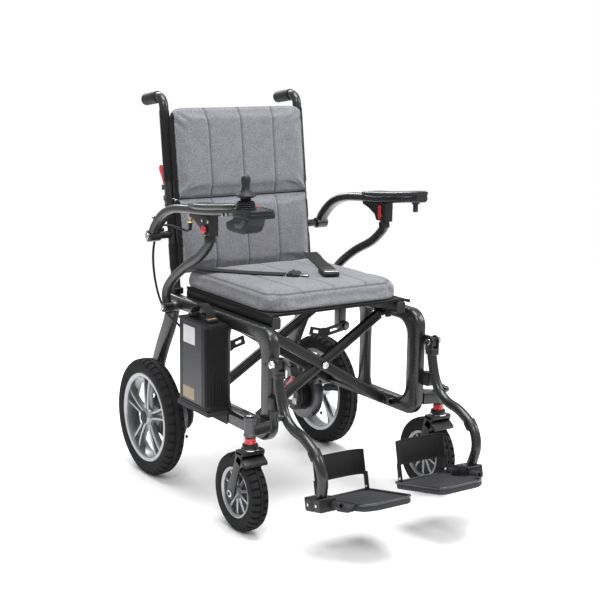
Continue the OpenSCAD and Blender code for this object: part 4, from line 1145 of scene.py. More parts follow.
@dataclass
class BackPost(Sided):
    """One back post: its lower half, its folding upper half and the push grip."""

    x: float = 205.0
    bend_z: float = 962.0
    radius: float = 12.0
    rise: float = -8.0
    bend_r: float = 28.0

    def at(self, z: float) -> Vector:
        """The post's middle at a height."""
        return Vector((self.x, post_y(z), z))

    @property
    def latch_place(self) -> Matrix:
        """Placement of what is drawn about the latch on the leaning post."""
        return Matrix.Translation(self.at(757)) @ Matrix.Rotation(-math.radians(POST_LEAN), 4, "X")

    def build(self) -> None:
        """Makes both halves, the grip and, on the right, the latch's lever."""
        self.lower()
        self.upper()
        self.grip()
        if self.side is Side.RIGHT:
            self.latch()

    def knuckles(self, shape: Shape, z0: float, z1: float) -> None:
        """Adds the fold hinge's clamp block between two heights."""
        y = self.at(HINGE_Z).y
        shape.use(1).box((self.x - 9, y - 4, z0), (self.x + 9, y + 15.8, z1), 2.5)
        shape.use(2)
        for s in (-1, 1):
            shape.rod((self.x + s * 9, y + 4, (z0 + z1) / 2), (self.x + s * 10.6, y + 4, (z0 + z1) / 2), 3.2, 0.6,
                      6)
        shape.use(0)

    def sleeve(self, shape: Shape, spans: Sequence[tuple[float, float]]) -> None:
        """Adds the cushion's cloth sleeves round the post, with the web that closes up to the cushion."""
        shape.use(3)
        for z0, z1 in spans:
            steps = [z0, z0 + 2, z1 - 2, z1]
            shape.sweep([self.at(z) for z in steps], circle(13.0), [0.96, 1.0, 1.0, 0.96])
            web = [(self.at(z0).y - 12.9, z0 + 1), (self.at(z1).y - 12.9, z1 - 1), (self.at(z1).y - 4, z1 - 1),
                   (self.at(z0).y - 4, z0 + 1)]
            shape.plate(web, self.x - 8, 16, 1)
        shape.use(0)

    def lower(self) -> None:
        """Makes the lower post, its clamp and the armrest's pivot."""
        shape = Shape().sweep([self.at(z) for z in (480, 500, 600, 700, 726.5)], circle(self.radius))
        self.knuckles(shape, 705, 726.6)
        self.sleeve(shape, ((546, 612), (654, 702)))
        y, z = self.at(636).y, 636
        shape.use(1).box((self.x - 13.5, -36, 482), (self.x + 13.5, -4, 500), 4)
        shape.rod((self.x, y, z), (242.6, y, z), 9.9, 1.5)
        shape.use(2).rod((self.x, y, z), (279, y, z), 5.9).rod((277.2, y, z), (280.6, y, z), 9, 1.2)
        pin_y = post_y(HINGE_Z) + 15.083
        shape.use(1).rod((self.x - 3.4, pin_y, HINGE_Z), (self.x + 3.4, pin_y, HINGE_Z), 6.9)
        self.piece("back_post_tube_*", shape, (CARBON, BLACK_METAL, BRIGHT, EDGE_CLOTH), "*_side", "back_post_*",
                   "carbon")

    def curve(self) -> list[Vector]:
        """The upper post's middle line from the hinge through the bend into the grip."""
        bend = self.at(self.bend_z)
        lean, rise = math.radians(POST_LEAN), math.radians(self.rise)
        cy, cz = bend.y + self.bend_r * math.cos(lean), bend.z - self.bend_r * math.sin(lean)
        path = [self.at(z) for z in (727.4, 760, 850, 950)]
        start, end = math.pi - lean, math.pi / 2 + rise
        turn = [start + (end - start) * i / 12 for i in range(13)]
        path += [Vector((self.x, cy + self.bend_r * math.cos(a), cz + self.bend_r * math.sin(a))) for a in turn]
        return path + [path[-1] + Vector((0, math.cos(rise), math.sin(rise))) * d for d in (16, 70)]

    def upper(self) -> None:
        """Makes the folding half with its bend."""
        shape = Shape().sweep(self.curve(), circle(self.radius))
        self.knuckles(shape, 727.4, 749)
        self.sleeve(shape, ((752, 952),) if self.side is Side.LEFT else ((772, 952),))
        y = self.at(HINGE_Z).y + 16
        for s in (-1, 1):
            shape.use(1).rod((self.x + s * 4, y, HINGE_Z), (self.x + s * 9, y, HINGE_Z), 6.9)
        shape.use(2).rod((self.x - 11, y, HINGE_Z), (self.x + 11, y, HINGE_Z), 3)
        if self.side is Side.RIGHT:
            lugs = Shape(self.latch_place)
            for s in (-1, 1):
                lugs.box((s * 9 - 2, 0, -7), (s * 9 + 2, 23, 7), 1.5)
            lugs.use(2).rod((-10.8, 18, 0), (10.8, 18, 0), 2.9)
            shape.take(lugs)
        self.piece("upper_post_tube_*", shape, (CARBON, BLACK_METAL, BRIGHT, EDGE_CLOTH), "upper_back_*",
                   "upper_post_*", "carbon")

    def latch(self) -> None:
        """Makes the red lever that frees the fold."""
        lever = [(14, 0), (15, 38), (19, 53), (28, 60.4), (37, 58.6), (41.6, 52), (40, 42), (32, 30), (25, 14),
                 (22, 0)]
        shape = Shape(self.latch_place)
        shape.lathe([(3.3, -6.2), (5, -6.2), (5, 6.2), (3.3, 6.2)], (0, 18, 0), (1, 0, 0), 28)
        shape.plate(lever, -6.2, 12.4, 3.6, 4)
        self.piece("back_latch_lever", shape, RED, "back_latch", "back_latch", "red", 50)

    def grip(self) -> None:
        """Makes the rubber grip, smooth above and waved for the fingers below."""
        start = self.curve()[-3]
        sleeve: list[Point] = [(0, 65), (11.2, 65), (11.2, 0), (14.4, 0), (15, 1.2), (15, 60), (14.2, 68),
                               (12.4, 72), (9, 74.4), (0, 75)]
        tilt = Matrix.Translation(start) @ Matrix.Rotation(math.radians(self.rise) - math.pi / 2, 4, "X")
        shape = Shape(tilt).lathe(sleeve, (0, 0, 0), (0, 0, 1), 48, False)
        for i in range(5):
            shape.lathe([(9, -5.4), (13.5, -5.4), (14.8, -3), (15.2, 0), (14.8, 3), (13.5, 5.4), (9, 5.4)],
                        (0, 1.9, 8 + i * 14), (0, 0, 1), 40)
        self.piece("push_grip_rubber_*", shape, GRIP, "upper_back_*", "push_grip_*", "grip", 60)


@dataclass
class Cushion:
    """A padded piece: an inflated closed form with sewn channels."""

    shop: Workshop
    name: str
    body: str
    node: str
    voxel: float = 5.0
    pressure: float = 4.0
    cap: float = 9.0
    frames: int = 20

    def inflate(self, obj: bpy.types.Object, held: Callable[[Vector], float]) -> None:
        """Remeshes the piece evenly and swells it with a short cloth simulation.

        Args:
            obj: the piece, already in place.
            held: how firmly a point is held, from nought to one.
        """
        remesh = obj.modifiers.new("even", "REMESH")
        remesh.mode = "VOXEL"
        remesh.voxel_size = self.voxel * MM
        self._apply(obj)
        group = obj.vertex_groups.new(name="held")
        rest = [v.co.copy() for v in obj.data.vertices]
        for i, co in enumerate(rest):
            group.add([i], held(co), "REPLACE")
        cloth = obj.modifiers.new("swell", "CLOTH")
        cloth.settings.use_pressure = True
        cloth.settings.uniform_pressure_force = self.pressure
        cloth.settings.vertex_group_mass = "held"
        cloth.settings.quality = 5
        cloth.settings.mass = 0.3
        cloth.settings.effector_weights.gravity = 0.0
        scene = bpy.context.scene
        for step in range(1, self.frames + 1):
            scene.frame_set(step)
        self._apply(obj)
        scene.frame_set(1)
        limit = self.cap * MM
        for vert, start in zip(obj.data.vertices, rest):
            move = vert.co - start
            if move.length > limit:
                vert.co = start + move.normalized() * limit

    @staticmethod
    def _apply(obj: bpy.types.Object) -> None:
        """Keeps the result of the piece's modifiers as its mesh."""
        graph = bpy.context.evaluated_depsgraph_get()
        mesh = bpy.data.meshes.new_from_object(obj.evaluated_get(graph))
        obj.modifiers.clear()
        obj.data = mesh

    def refine(self, obj: bpy.types.Object) -> None:
        """Smooths the swollen mesh and divides it once."""
        bm = bmesh.new()
        bm.from_mesh(obj.data)
        bmesh.ops.smooth_vert(bm, verts=bm.verts, factor=0.5, use_axis_x=True, use_axis_y=True, use_axis_z=True)
        bm.to_mesh(obj.data)
        bm.free()
        divide = obj.modifiers.new("fine", "SUBSURF")
        divide.levels = divide.render_levels = 1
        self._apply(obj)

    @staticmethod
    def sew(obj: bpy.types.Object, distance: Callable[[Vector], float], inward: Callable[[Vector], Vector],
            depth: float, width: float) -> None:
        """Draws seams in, and marks them so that the cloth's finish paints shade in their creases.

        Args:
            obj: the padded piece.
            distance: millimetres from a point to the nearest seam.
            inward: the direction in which a seam pulls the cloth there.
            depth: how far it pulls, in millimetres.
            width: half width of the dip, in millimetres.
        """
        seam_shade_mark = obj.data.attributes.get("seam") or obj.data.attributes.new("seam", "FLOAT", "POINT")
        for i, vert in enumerate(obj.data.vertices):
            d = distance(vert.co)
            if d < width * 2.5:
                vert.co += inward(vert.co) * (depth * MM * math.exp(-((d / width) ** 2)))
            # the mark peaks at the bottom of each dip, where the cloth paints it as shade
            seam_shade_mark.data[i].value = max(seam_shade_mark.data[i].value, math.exp(-((d / 1.7) ** 2)))


@dataclass
class SeatCushion(Cushion):
    """The thick seat pad with a border seam and three lengthwise seams."""

    half: float = 205.0
    front: float = -471.0
    length: float = 416.0
    floor: float = 507.6
    depth: float = 50.0

    def build(self) -> None:
        """Makes the pad over its sling."""
        h, f, r = self.half - 4, self.front + 5, 62
        outline = [*arc((-h + r, f + r), r, 180, 270, 8), *arc((h - r, f + r), r, 270, 360, 8),
                   *arc((h - 14, f + self.length - 26), 14, 0, 90, 4),
                   *arc((-h + 14, f + self.length - 26), 14, 90, 180, 4)]
        shape = Shape().slab(outline, self.floor, self.depth - 5, 15, 5)
        obj = self.shop.piece(self.name, shape, (CLOTH,), Side.LEFT, self.body, (self.node,), "cushion", 80)
        floor = (self.floor + 5) * MM
        self.inflate(obj, lambda p: 1.0 if p.z < floor else 0.0)
        self.refine(obj)
        top = max(v.co.z for v in obj.data.vertices)
        ay = self.shop.axle_y

        def seams(p: Vector) -> float:
            """Distance to the lengthwise seams, which spread at the front, and to the border seam."""
            y = p.y / MM - ay
            bow = max(0.0, (-390 - y) / 70) ** 2
            lines = min(abs(p.x / MM - c * (1 - 0.10 * bow)) for c in (-101, 0, 101))
            on_top = p.z > top - 16 * MM
            border = abs(p.z - (top - 13 * MM)) / MM
            return min(lines if on_top else 99.0, border)

        def inward(p: Vector) -> Vector:
            """Down on the top, inwards on the sides."""
            if p.z > top - 9 * MM:
                return Vector((0, 0, -1))
            middle = Vector((0, (self.front + self.length / 2 + ay) * MM, p.z))
            return (middle - p).normalized()

        self.sew(obj, seams, inward, 2.6, 4.0)
        self.settle(obj)
        narrow(obj)

    def settle(self, obj: bpy.types.Object) -> None:
        """Keeps the underside flat on the sling and the pad within its place."""
        shoulder, top = self.floor + self.depth - 11, self.floor + self.depth - 0.6
        crest = max(v.co.z for v in obj.data.vertices) / MM
        for vert in obj.data.vertices:
            rise = max(0.0, (vert.co.z / MM - shoulder) / max(crest - shoulder, 1.0))
            if rise > 0:
                vert.co.z = (shoulder + (top - shoulder) * min(1.0, 1.15 * rise ** 0.8 - 0.15 * rise)) * MM
            vert.co.z = max(vert.co.z, self.floor * MM)
            vert.co.x = max(min(vert.co.x, (self.half + 1.5) * MM), -(self.half + 1.5) * MM)


@dataclass
class BackCushion(Cushion):
    """One half of the back pad, leaning with the posts."""

    low: float = 543.6
    high: float = 725.5
    half: float = 205.0
    thick: float = 24.0
    round_top: bool = False
    bottom: float = 0.0

    def meet(self, obj: bpy.types.Object, lean: float) -> None:
        """Brings the end that faces the other half up to the fold's plane."""
        up = Vector((0, math.sin(lean), math.cos(lean)))
        upper = self.round_top
        fold = self.low + 0.2 if upper else self.high - 0.2
        target = up.dot(Vector((0, self.shop.axle_y + self.face(fold) + self.thick / 2, fold))) * MM
        verts = obj.data.vertices
        end = min(up.dot(v.co) for v in verts) if upper else max(up.dot(v.co) for v in verts)
        for vert in verts:
            near = max(0.0, 1.0 - abs(up.dot(vert.co) - end) / (16 * MM))
            vert.co += up * ((target - end) * min(1.0, near * 1.6))

    def face(self, z: float) -> float:
        """The pad's front surface at a height."""
        return post_y(z) - 13 - self.thick

    def build(self) -> None:
        """Makes the pad with its dark edge bands."""
        lean = math.radians(POST_LEAN)
        h, top, b = self.half - 1.5, (self.high - self.low) / math.cos(lean), self.bottom
        r = 32 if self.round_top else 4
        rim = top - r - (3.0 if self.round_top else 0.0)
        outline = [(-h, b), (h, b), *arc((h - r, rim), r, 0, 90, 8), *arc((-h + r, rim), r, 90, 180, 8)]
        place = Matrix.Translation((0, self.face(self.low) + self.thick - 1.5, self.low)) @ \
            Matrix.Rotation(math.pi / 2 - lean, 4, "X")
        shape = Shape().prism(outline, self.thick - 4.5, place, 4.5, 4)
        obj = self.shop.piece(self.name, shape, (CLOTH, EDGE_CLOTH), Side.LEFT, self.body, (self.node,), "cushion",
                              80)
        ay = self.shop.axle_y
        rear = self.thick - 6

        def back_of(p: Vector) -> float:
            """Distance behind the pad's front plane, in millimetres."""
            return p.y / MM - ay - self.face(p.z / MM)

        self.inflate(obj, lambda p: 1.0 if back_of(p) > rear - 2 else 0.0)
        self.refine(obj)
        self.meet(obj, lean)

        def seams(p: Vector) -> float:
            """Distance to the three upright seams, which lean outwards near the top, and the two edge seams."""
            rise = max(0.0, (p.z / MM - 880) / 80) ** 2
            lines = min(abs(p.x / MM - c * (1 + 0.05 * rise)) for c in (-98, 0, 98))
            return lines if back_of(p) < 13 else 99.0

        self.sew(obj, seams, lambda p: Vector((0, 0.99, -0.13)), 2.8, 4.2)
        for poly in obj.data.polygons:
            edge = abs(poly.center.x) / MM > self.half - 11
            poly.material_index = 1 if edge or back_of(poly.center) > rear - 1 else 0
        for vert in obj.data.vertices:
            vert.co.x = max(min(vert.co.x, (self.half + 1.0) * MM), -(self.half + 1.0) * MM)
            vert.co.y = min(vert.co.y, (self.face(vert.co.z / MM) + self.thick + 0.6 + ay) * MM)
        narrow(obj)
        if self.round_top:
            self.shade_strip()

    def shade_strip(self) -> None:
        """Makes a dark strip behind the fold that closes the line between the halves; it is painted shade seen
        through that line.
        """
        back, low, high = self.thick + 0.15, self.low - 8, self.low + 12
        outline = [(self.face(low) + back, low), (self.face(high) + back, high),
                   (self.face(high) + back + 0.7, high), (self.face(low) + back + 0.7, low)]
        # painted shade: a dark strip behind the gap so that the gap reads dark
        shape = Shape().plate(outline, -190, 380, 0.15, 1)
        shade_strip = self.shop.piece("back_fold_flap", shape, EDGE_CLOTH, Side.LEFT, self.body, (), "webbing")
        narrow(shade_strip)


@dataclass
class SeatSling:
    """The stretched cloth under the seat pad with two piped hems."""

    shop: Workshop
    half: float = 197.0
    front: float = -465.0
    length: float = 404.0
    z: float = 502.3

    def build(self) -> None:
        """Makes the sling with its piping."""
        y0, y1 = self.front, self.front + self.length
        shape = Shape().slab([(-self.half, y0 + 12), (-self.half + 12, y0), (self.half - 12, y0),
                              (self.half, y0 + 12), (self.half, y1), (-self.half, y1)], self.z, 5.0, 2.2)
        for z in (self.z + 0.6, self.z + 4.4):
            path = smooth_path([(-self.half, y1, z), (-self.half - 0.5, y0 + 14, z), (-self.half + 12, y0 - 0.5, z),
                                (0, y0 - 1.5, z), (self.half - 12, y0 - 0.5, z), (self.half + 0.5, y0 + 14, z),
                                (self.half, y1, z)], 5)
            shape.sweep(path, circle(1.7, 10), across=(0, 0, 1))
        obj = self.shop.piece("seat_sling_cloth", shape, SLING, Side.LEFT, "seat_rail_right", ("seat_sling",),
                              "webbing", 50)
        narrow(obj, self.half)


@dataclass
class LapBelt:
    """The lap belt that lies across the seat, with its tongue and buckle."""

    shop: Workshop
    z: float = 557.9
    width: float = 38.0

    def build(self) -> None:
        """Makes both webbings, the tongue with its adjuster and the buckle."""
        z, section = self.z + 1.6, oval(self.width, 2.0, 0.9)
        right = smooth_path([(-190, -64, z + 3), (-180, -96, z + 1), (-143, -158, z), (-86, -226, z),
                             (-34, -276, z + 0.5)], 6)
        shape = Shape().sweep(right, section, across=(0.8, 0.6, 0))
        shape.use(1)
        turn = Matrix.Translation((-14, -296, z)) @ Matrix.Rotation(math.radians(-44), 4, "Z")
        tongue = Shape(turn).use(1).box((-22, -21, -1.6), (10, 21, 6.5), 3)
        tongue.use(2).box((8, -13, 0.5), (33, 13, 2.8), 1)
        tongue.use(1).box((-14, -23, 5), (-6, 23, 9.5), 2.5).box((-2, -16, 5.5), (6, 16, 9), 2)
        shape.take(tongue)
        narrow(self.shop.piece("lap_belt_webbing_right", shape, (STRAP, PLASTIC, BRIGHT), Side.LEFT,
                               "seat_rail_right",
                                   ("lap_belt_right",), "webbing"))
        left = smooth_path([(192, -52, z + 4), (182, -84, z + 1), (160, -130, z), (136, -186, z),
                            (104, -262, z + 1.5)], 6)
        shape = Shape().sweep(left, section, across=(0.85, -0.5, 0))
        narrow(self.shop.piece("lap_belt_webbing_left", shape, STRAP, Side.LEFT, "seat_rail_right",
                                   ("lap_belt_left",), "webbing"))
        turn = Matrix.Translation((64, -330, self.z)) @ Matrix.Rotation(math.radians(-24), 4, "Z")
        buckle = Shape(turn).box((-22, -32, 0.6), (20, 46, 13.6), 4.5, 4).use(1).box((-20, 34, 2), (18, 51, 11), 2)
        buckle.box((-13, -34, 3.5), (11, -20, 10.5), 1.5).use(2).box((-18, -30, 12.6), (16, -6, 14.6), 1)
        narrow(self.shop.piece("belt_buckle_case", buckle, (PLASTIC, BLACK_METAL, BRIGHT), Side.LEFT,
                               "seat_rail_right",
                                   ("belt_buckle",), "black_plastic"))


# ---- armrests and joystick ----


@dataclass
class Armrest(Sided):
    """One armrest: its curved arm, latch bracket, button and the S-shaped link below."""

    x: float = 260.0
    hinge: tuple[float, float] = (0.69, 636.0)
    reach: float = 450.0

    def build(self) -> None:
        """Makes the arm, its link and its button."""
        self.arm()
        self.link()
        self.button()

    def arm(self) -> None:
        """Makes the arm as one swept form that widens into the pad, with bracket and bolts."""
        y, z, n = self.hinge[0], self.hinge[1], self.reach
        end = (y - 0.955 * n, z + 115) if self.side is Side.RIGHT else (y - n + 2, z + 118)
        line = smooth_path([(self.x, y + 1, z - 2), (self.x, y - 16, z + 26), (self.x, y - 60, z + 62),
                            (self.x, y - 120, z + 84), (self.x, y - 200, z + 93), (self.x, y - 0.64 * n, z + 99),
                            (self.x, y - 0.82 * n, z + 108), (self.x, *end)], 6)
        shape = Shape().sweep(line, oval(33, 22, 9.5, 4), [0.92 + 0.08 * min(1, i / 12) for i in range(len(line))])
        pad = [p + Vector((0, 0, 11)) for p in line if p.y < -205]
        last = len(pad) - 1
        scales = [0.62 + 0.38 * math.sin(min(1.0,
                                             min(i + 0.3,
                                                 (last - i) + 0.3) / 4) * math.pi / 2) for i in range(last + 1)]
        shape.sweep(pad, oval(53, 15, 7.2, 4), scales)
        shape.lathe([(6.1, -17), (13.5, -17), (15, -15), (15, 15), (13.5, 17), (6.1, 17)], (self.x, y, z),
                    (1, 0, 0), 40)
        wing = [(-313, 677), (-273, 677), (-264, 692), (-238, 705), (-211, 713), (-211, 724), (-313, 726)]
        shape.use(1).plate(wing, self.x - 12.8, 25.6, 3.5, 4)
        shape.lathe([(10.6, 0), (13, 0), (13, 1.8), (10.6, 1.8)], (self.x + 12.6, -292, 692), (1, 0, 0), 32)
        shape.rod((self.x, -421.3, 716), (self.x, -421.3, 745), 6.5, 1.2)
        shape.rod((self.x, -421.3, 736), (self.x, -421.3, 746), 10, 1)
        shape.use(2)
        tip = [(-400, 742), (-382, 738)] if self.side is Side.RIGHT else [(-60, 700)]
        spots = [(-306, 712), (-278, 712), (-30, 688), *tip]
        for by, bz in spots:
            shape.rod((self.x + 12.6, by, bz), (self.x + (19 if by < -350 or by > -80 else 15), by, bz), 4.4, 1, 6)
        if self.side is Side.RIGHT:
            shape.rod((self.x + 2, -200, 696), (self.x + 2, -200, 722), 8, 1.5)
            shape.use(3).lathe([(6, 698), (9.2, 698), (9.8, 699.5), (9.8, 704), (9.2, 705.5), (6, 705.5)],
                               (self.x + 2, -200, 0), (0, 0, 1), 32)
        self.piece("armrest_*", shape, (CARBON, BLACK_METAL, BRIGHT, BRASS), "arm_rest_*", "arm_rest_*", "carbon")

    def button(self) -> None:
        """Makes the red push button with its domed head and the tab at its inner end."""
        shape = Shape().rod((self.x - 13, -292, 692), (self.x + 17.5, -292, 692), 6.9)
        shape.lathe([(0, 17.2), (9.4, 17.2), (9.9, 18), (9.4, 19), (6, 20.4), (0, 20.8)], (self.x, -292, 692),
                    (1, 0, 0), 36, False)
        tab = [*arc((-292, 714), 5.4, 0, 180, 8), *arc((-292, 688), 5.4, 180, 360, 8)]
        shape.plate(tab, self.x - 17, 3.6, 1.5, 3)
        self.piece("arm_button_cap_*", shape, RED, "arm_button_*", "arm_button_*", "red", 40)

    def link(self) -> None:
        """Makes the S-shaped tube up to the armrest's bracket, with its foot."""
        line = smooth_path([(self.x, -72, 463), (self.x, -68, 501), (self.x, -100, 537), (self.x, -166, 580),
                            (self.x, -240, 616), (self.x, -282, 648), (self.x, -293, 664), (self.x, -294, 675.6)],
                            6)
        shape = Shape().sweep(line, circle(11.8))
        shape.use(1).lathe([(0, -12.4), (13, -12.4), (14, -11), (14, 11), (13, 12.4), (0, 12.4)],
                           (self.x, -72, 463), (1, 0, 0), 36, False)
        shape.lathe([(11, 0), (13.6, 0), (14, 1), (14, 15), (13, 16), (11, 16)], (self.x, -294, 659), (0, 0.12, 1),
                    36)
        shape.use(2).lathe([(0, 0), (7, 0), (7, 2.6), (5.6, 3.8), (0, 3.8)], (self.x + 12.2, -72, 463), (1, 0, 0),
                           28, False)
        self.piece("arm_link_tube_*", shape, (CARBON, BLACK_METAL, BRIGHT), "*_side", "arm_link_*", "carbon")


@dataclass
class Joystick:
    """The drive controller at the right armrest's tip."""

    shop: Workshop
    outer: float = 286.0
    width: float = 72.0
    front: float = -520.0
    length: float = 84.0
    top: float = 763.0
    stick: tuple[float, float] = (262.0, -460.0)

    def build(self) -> None:
        """Makes the housing, the bellows and the stick."""
        self.housing()
        self.bellows()
        self.knob()

    def housing(self) -> None:
        """Makes the rounded upper block, its keypad and the boat-shaped lower body with its lever, painted lighter
        grey metal than the body as a painted highlight.
        """
        x0, x1, y0, y1, z = self.outer - self.width, self.outer, self.front, self.front + self.length, self.top
        r = 13
        outline = [*arc((x0 + r, y0 + r), r, 180, 270, 5), *arc((x1 - r, y0 + r), r, 270, 360, 5),
                   *arc((x1 - 7, y1 - 7), 7, 0, 90, 4), *arc((x0 + 7, y1 - 7), 7, 90, 180, 4)]
        shape = Shape().slab(outline, z - 20, 12, 2).slab(
            [(x + (1.5 if x < (x0 + x1) / 2 else -1.5), y + (1.5 if y < (y0 + y1) / 2 else -1.5)) for x,
             y in outline],
            z - 9, 8.8, 3.4, 4)
        lower = [(y0 + 8, z - 19), (y0 + 12, z - 34), (y0 + 22, z - 49), (y0 + 40, z - 56.5), (y1 + 6, z - 56.5),
                 (y1 + 20, z - 53), (y1 + 26, z - 45), (y1 + 25, z - 37), (y1 + 10, z - 31), (y1 - 6, z - 24),
                 (y1 - 6, z - 19)]
        shape.plate(lower, x1 - 46, 45.5, 6, 4)
        # painted highlight: the lever plate, barely proud of the body, is lighter grey metal than the black body
        shape.use(1).plate([(y0 + 24, z - 23), (y0 + 28, z - 34), (y0 + 44, z - 44), (y1 - 18, z - 44),
                            (y1 - 12, z - 36), (y1 - 26, z - 34), (y0 + 46, z - 33), (y0 + 36, z - 23)], x1 - 0.9,
                            1.8, 0.8)
        shape.use(2)
        for i in range(3):
            shape.rod((x0 + 12, y0 + 16 + i * 15, z - 0.6), (x0 + 12, y0 + 16 + i * 15, z + 1.1), 4.2, 0.6, 24)
        shape.use(3).rod((x0 + 12, y1 - 16, z - 0.6), (x0 + 12, y1 - 16, z + 1.3), 5, 0.6, 24)
        self.shop.piece("joystick_case", shape, (HOUSING, GREY_METAL, KNOB, RED), Side.RIGHT, "arm_rest_right",
                        ("joystick_housing",), "black_plastic", 40)

    def bellows(self) -> None:
        """Makes the ringed boot round the stick."""
        outer: list[Point] = [(23.6, 0), (23.8, 1.2), (22.8, 2.4), (21, 3.2), (22.6, 4.4), (23, 5.4), (22.2, 6.4),
                              (20.2, 7.2), (21.8, 8.4), (22.2, 9.4), (21.4, 10.4), (19.6, 11.2), (20.8, 12.2),
                              (21, 13.2), (20, 14.6)]
        profile = [*outer, (18, 15), (18, 12), (19, 8), (20, 3), (20.6, 0)]
        shape = Shape().lathe(profile, (*self.stick, self.top + 0.4), (0, 0, 1), 48)
        self.shop.piece("joystick_bellows", shape, BELLOWS, Side.RIGHT, "arm_rest_right", ("joystick_boot",),
                        "boot", 50)

    def knob(self) -> None:
        """Makes the stick's flared skirt and its mushroom knob."""
        profile: list[Point] = [(0, 15), (6.8, 15), (7, 15.6), (7, 19.6), (10.4, 20.4), (11.2, 21.6), (9.4, 23),
                                (12.6, 24.2), (13.4, 25.6), (11.4, 27), (13, 28.6), (20.5, 31.4), (23.4, 33),
                                (24, 34.6), (23, 36.4), (18.8, 39.4), (14.4, 43), (11, 47.4), (9.3, 52), (9, 56),
                                (9.8, 61), (10.8, 66), (11, 70.5), (10.4, 75), (8.6, 78.6), (5.2, 80.5), (0, 81)]
        shape = Shape().lathe(profile, (*self.stick, self.top - 6), (0, 0, 1), 48, False)
        self.shop.piece("joystick_knob", shape, KNOB, Side.RIGHT, "joystick_stick", ("joystick_stick",),
                        "black_plastic", 60)


# ---- footrests ----


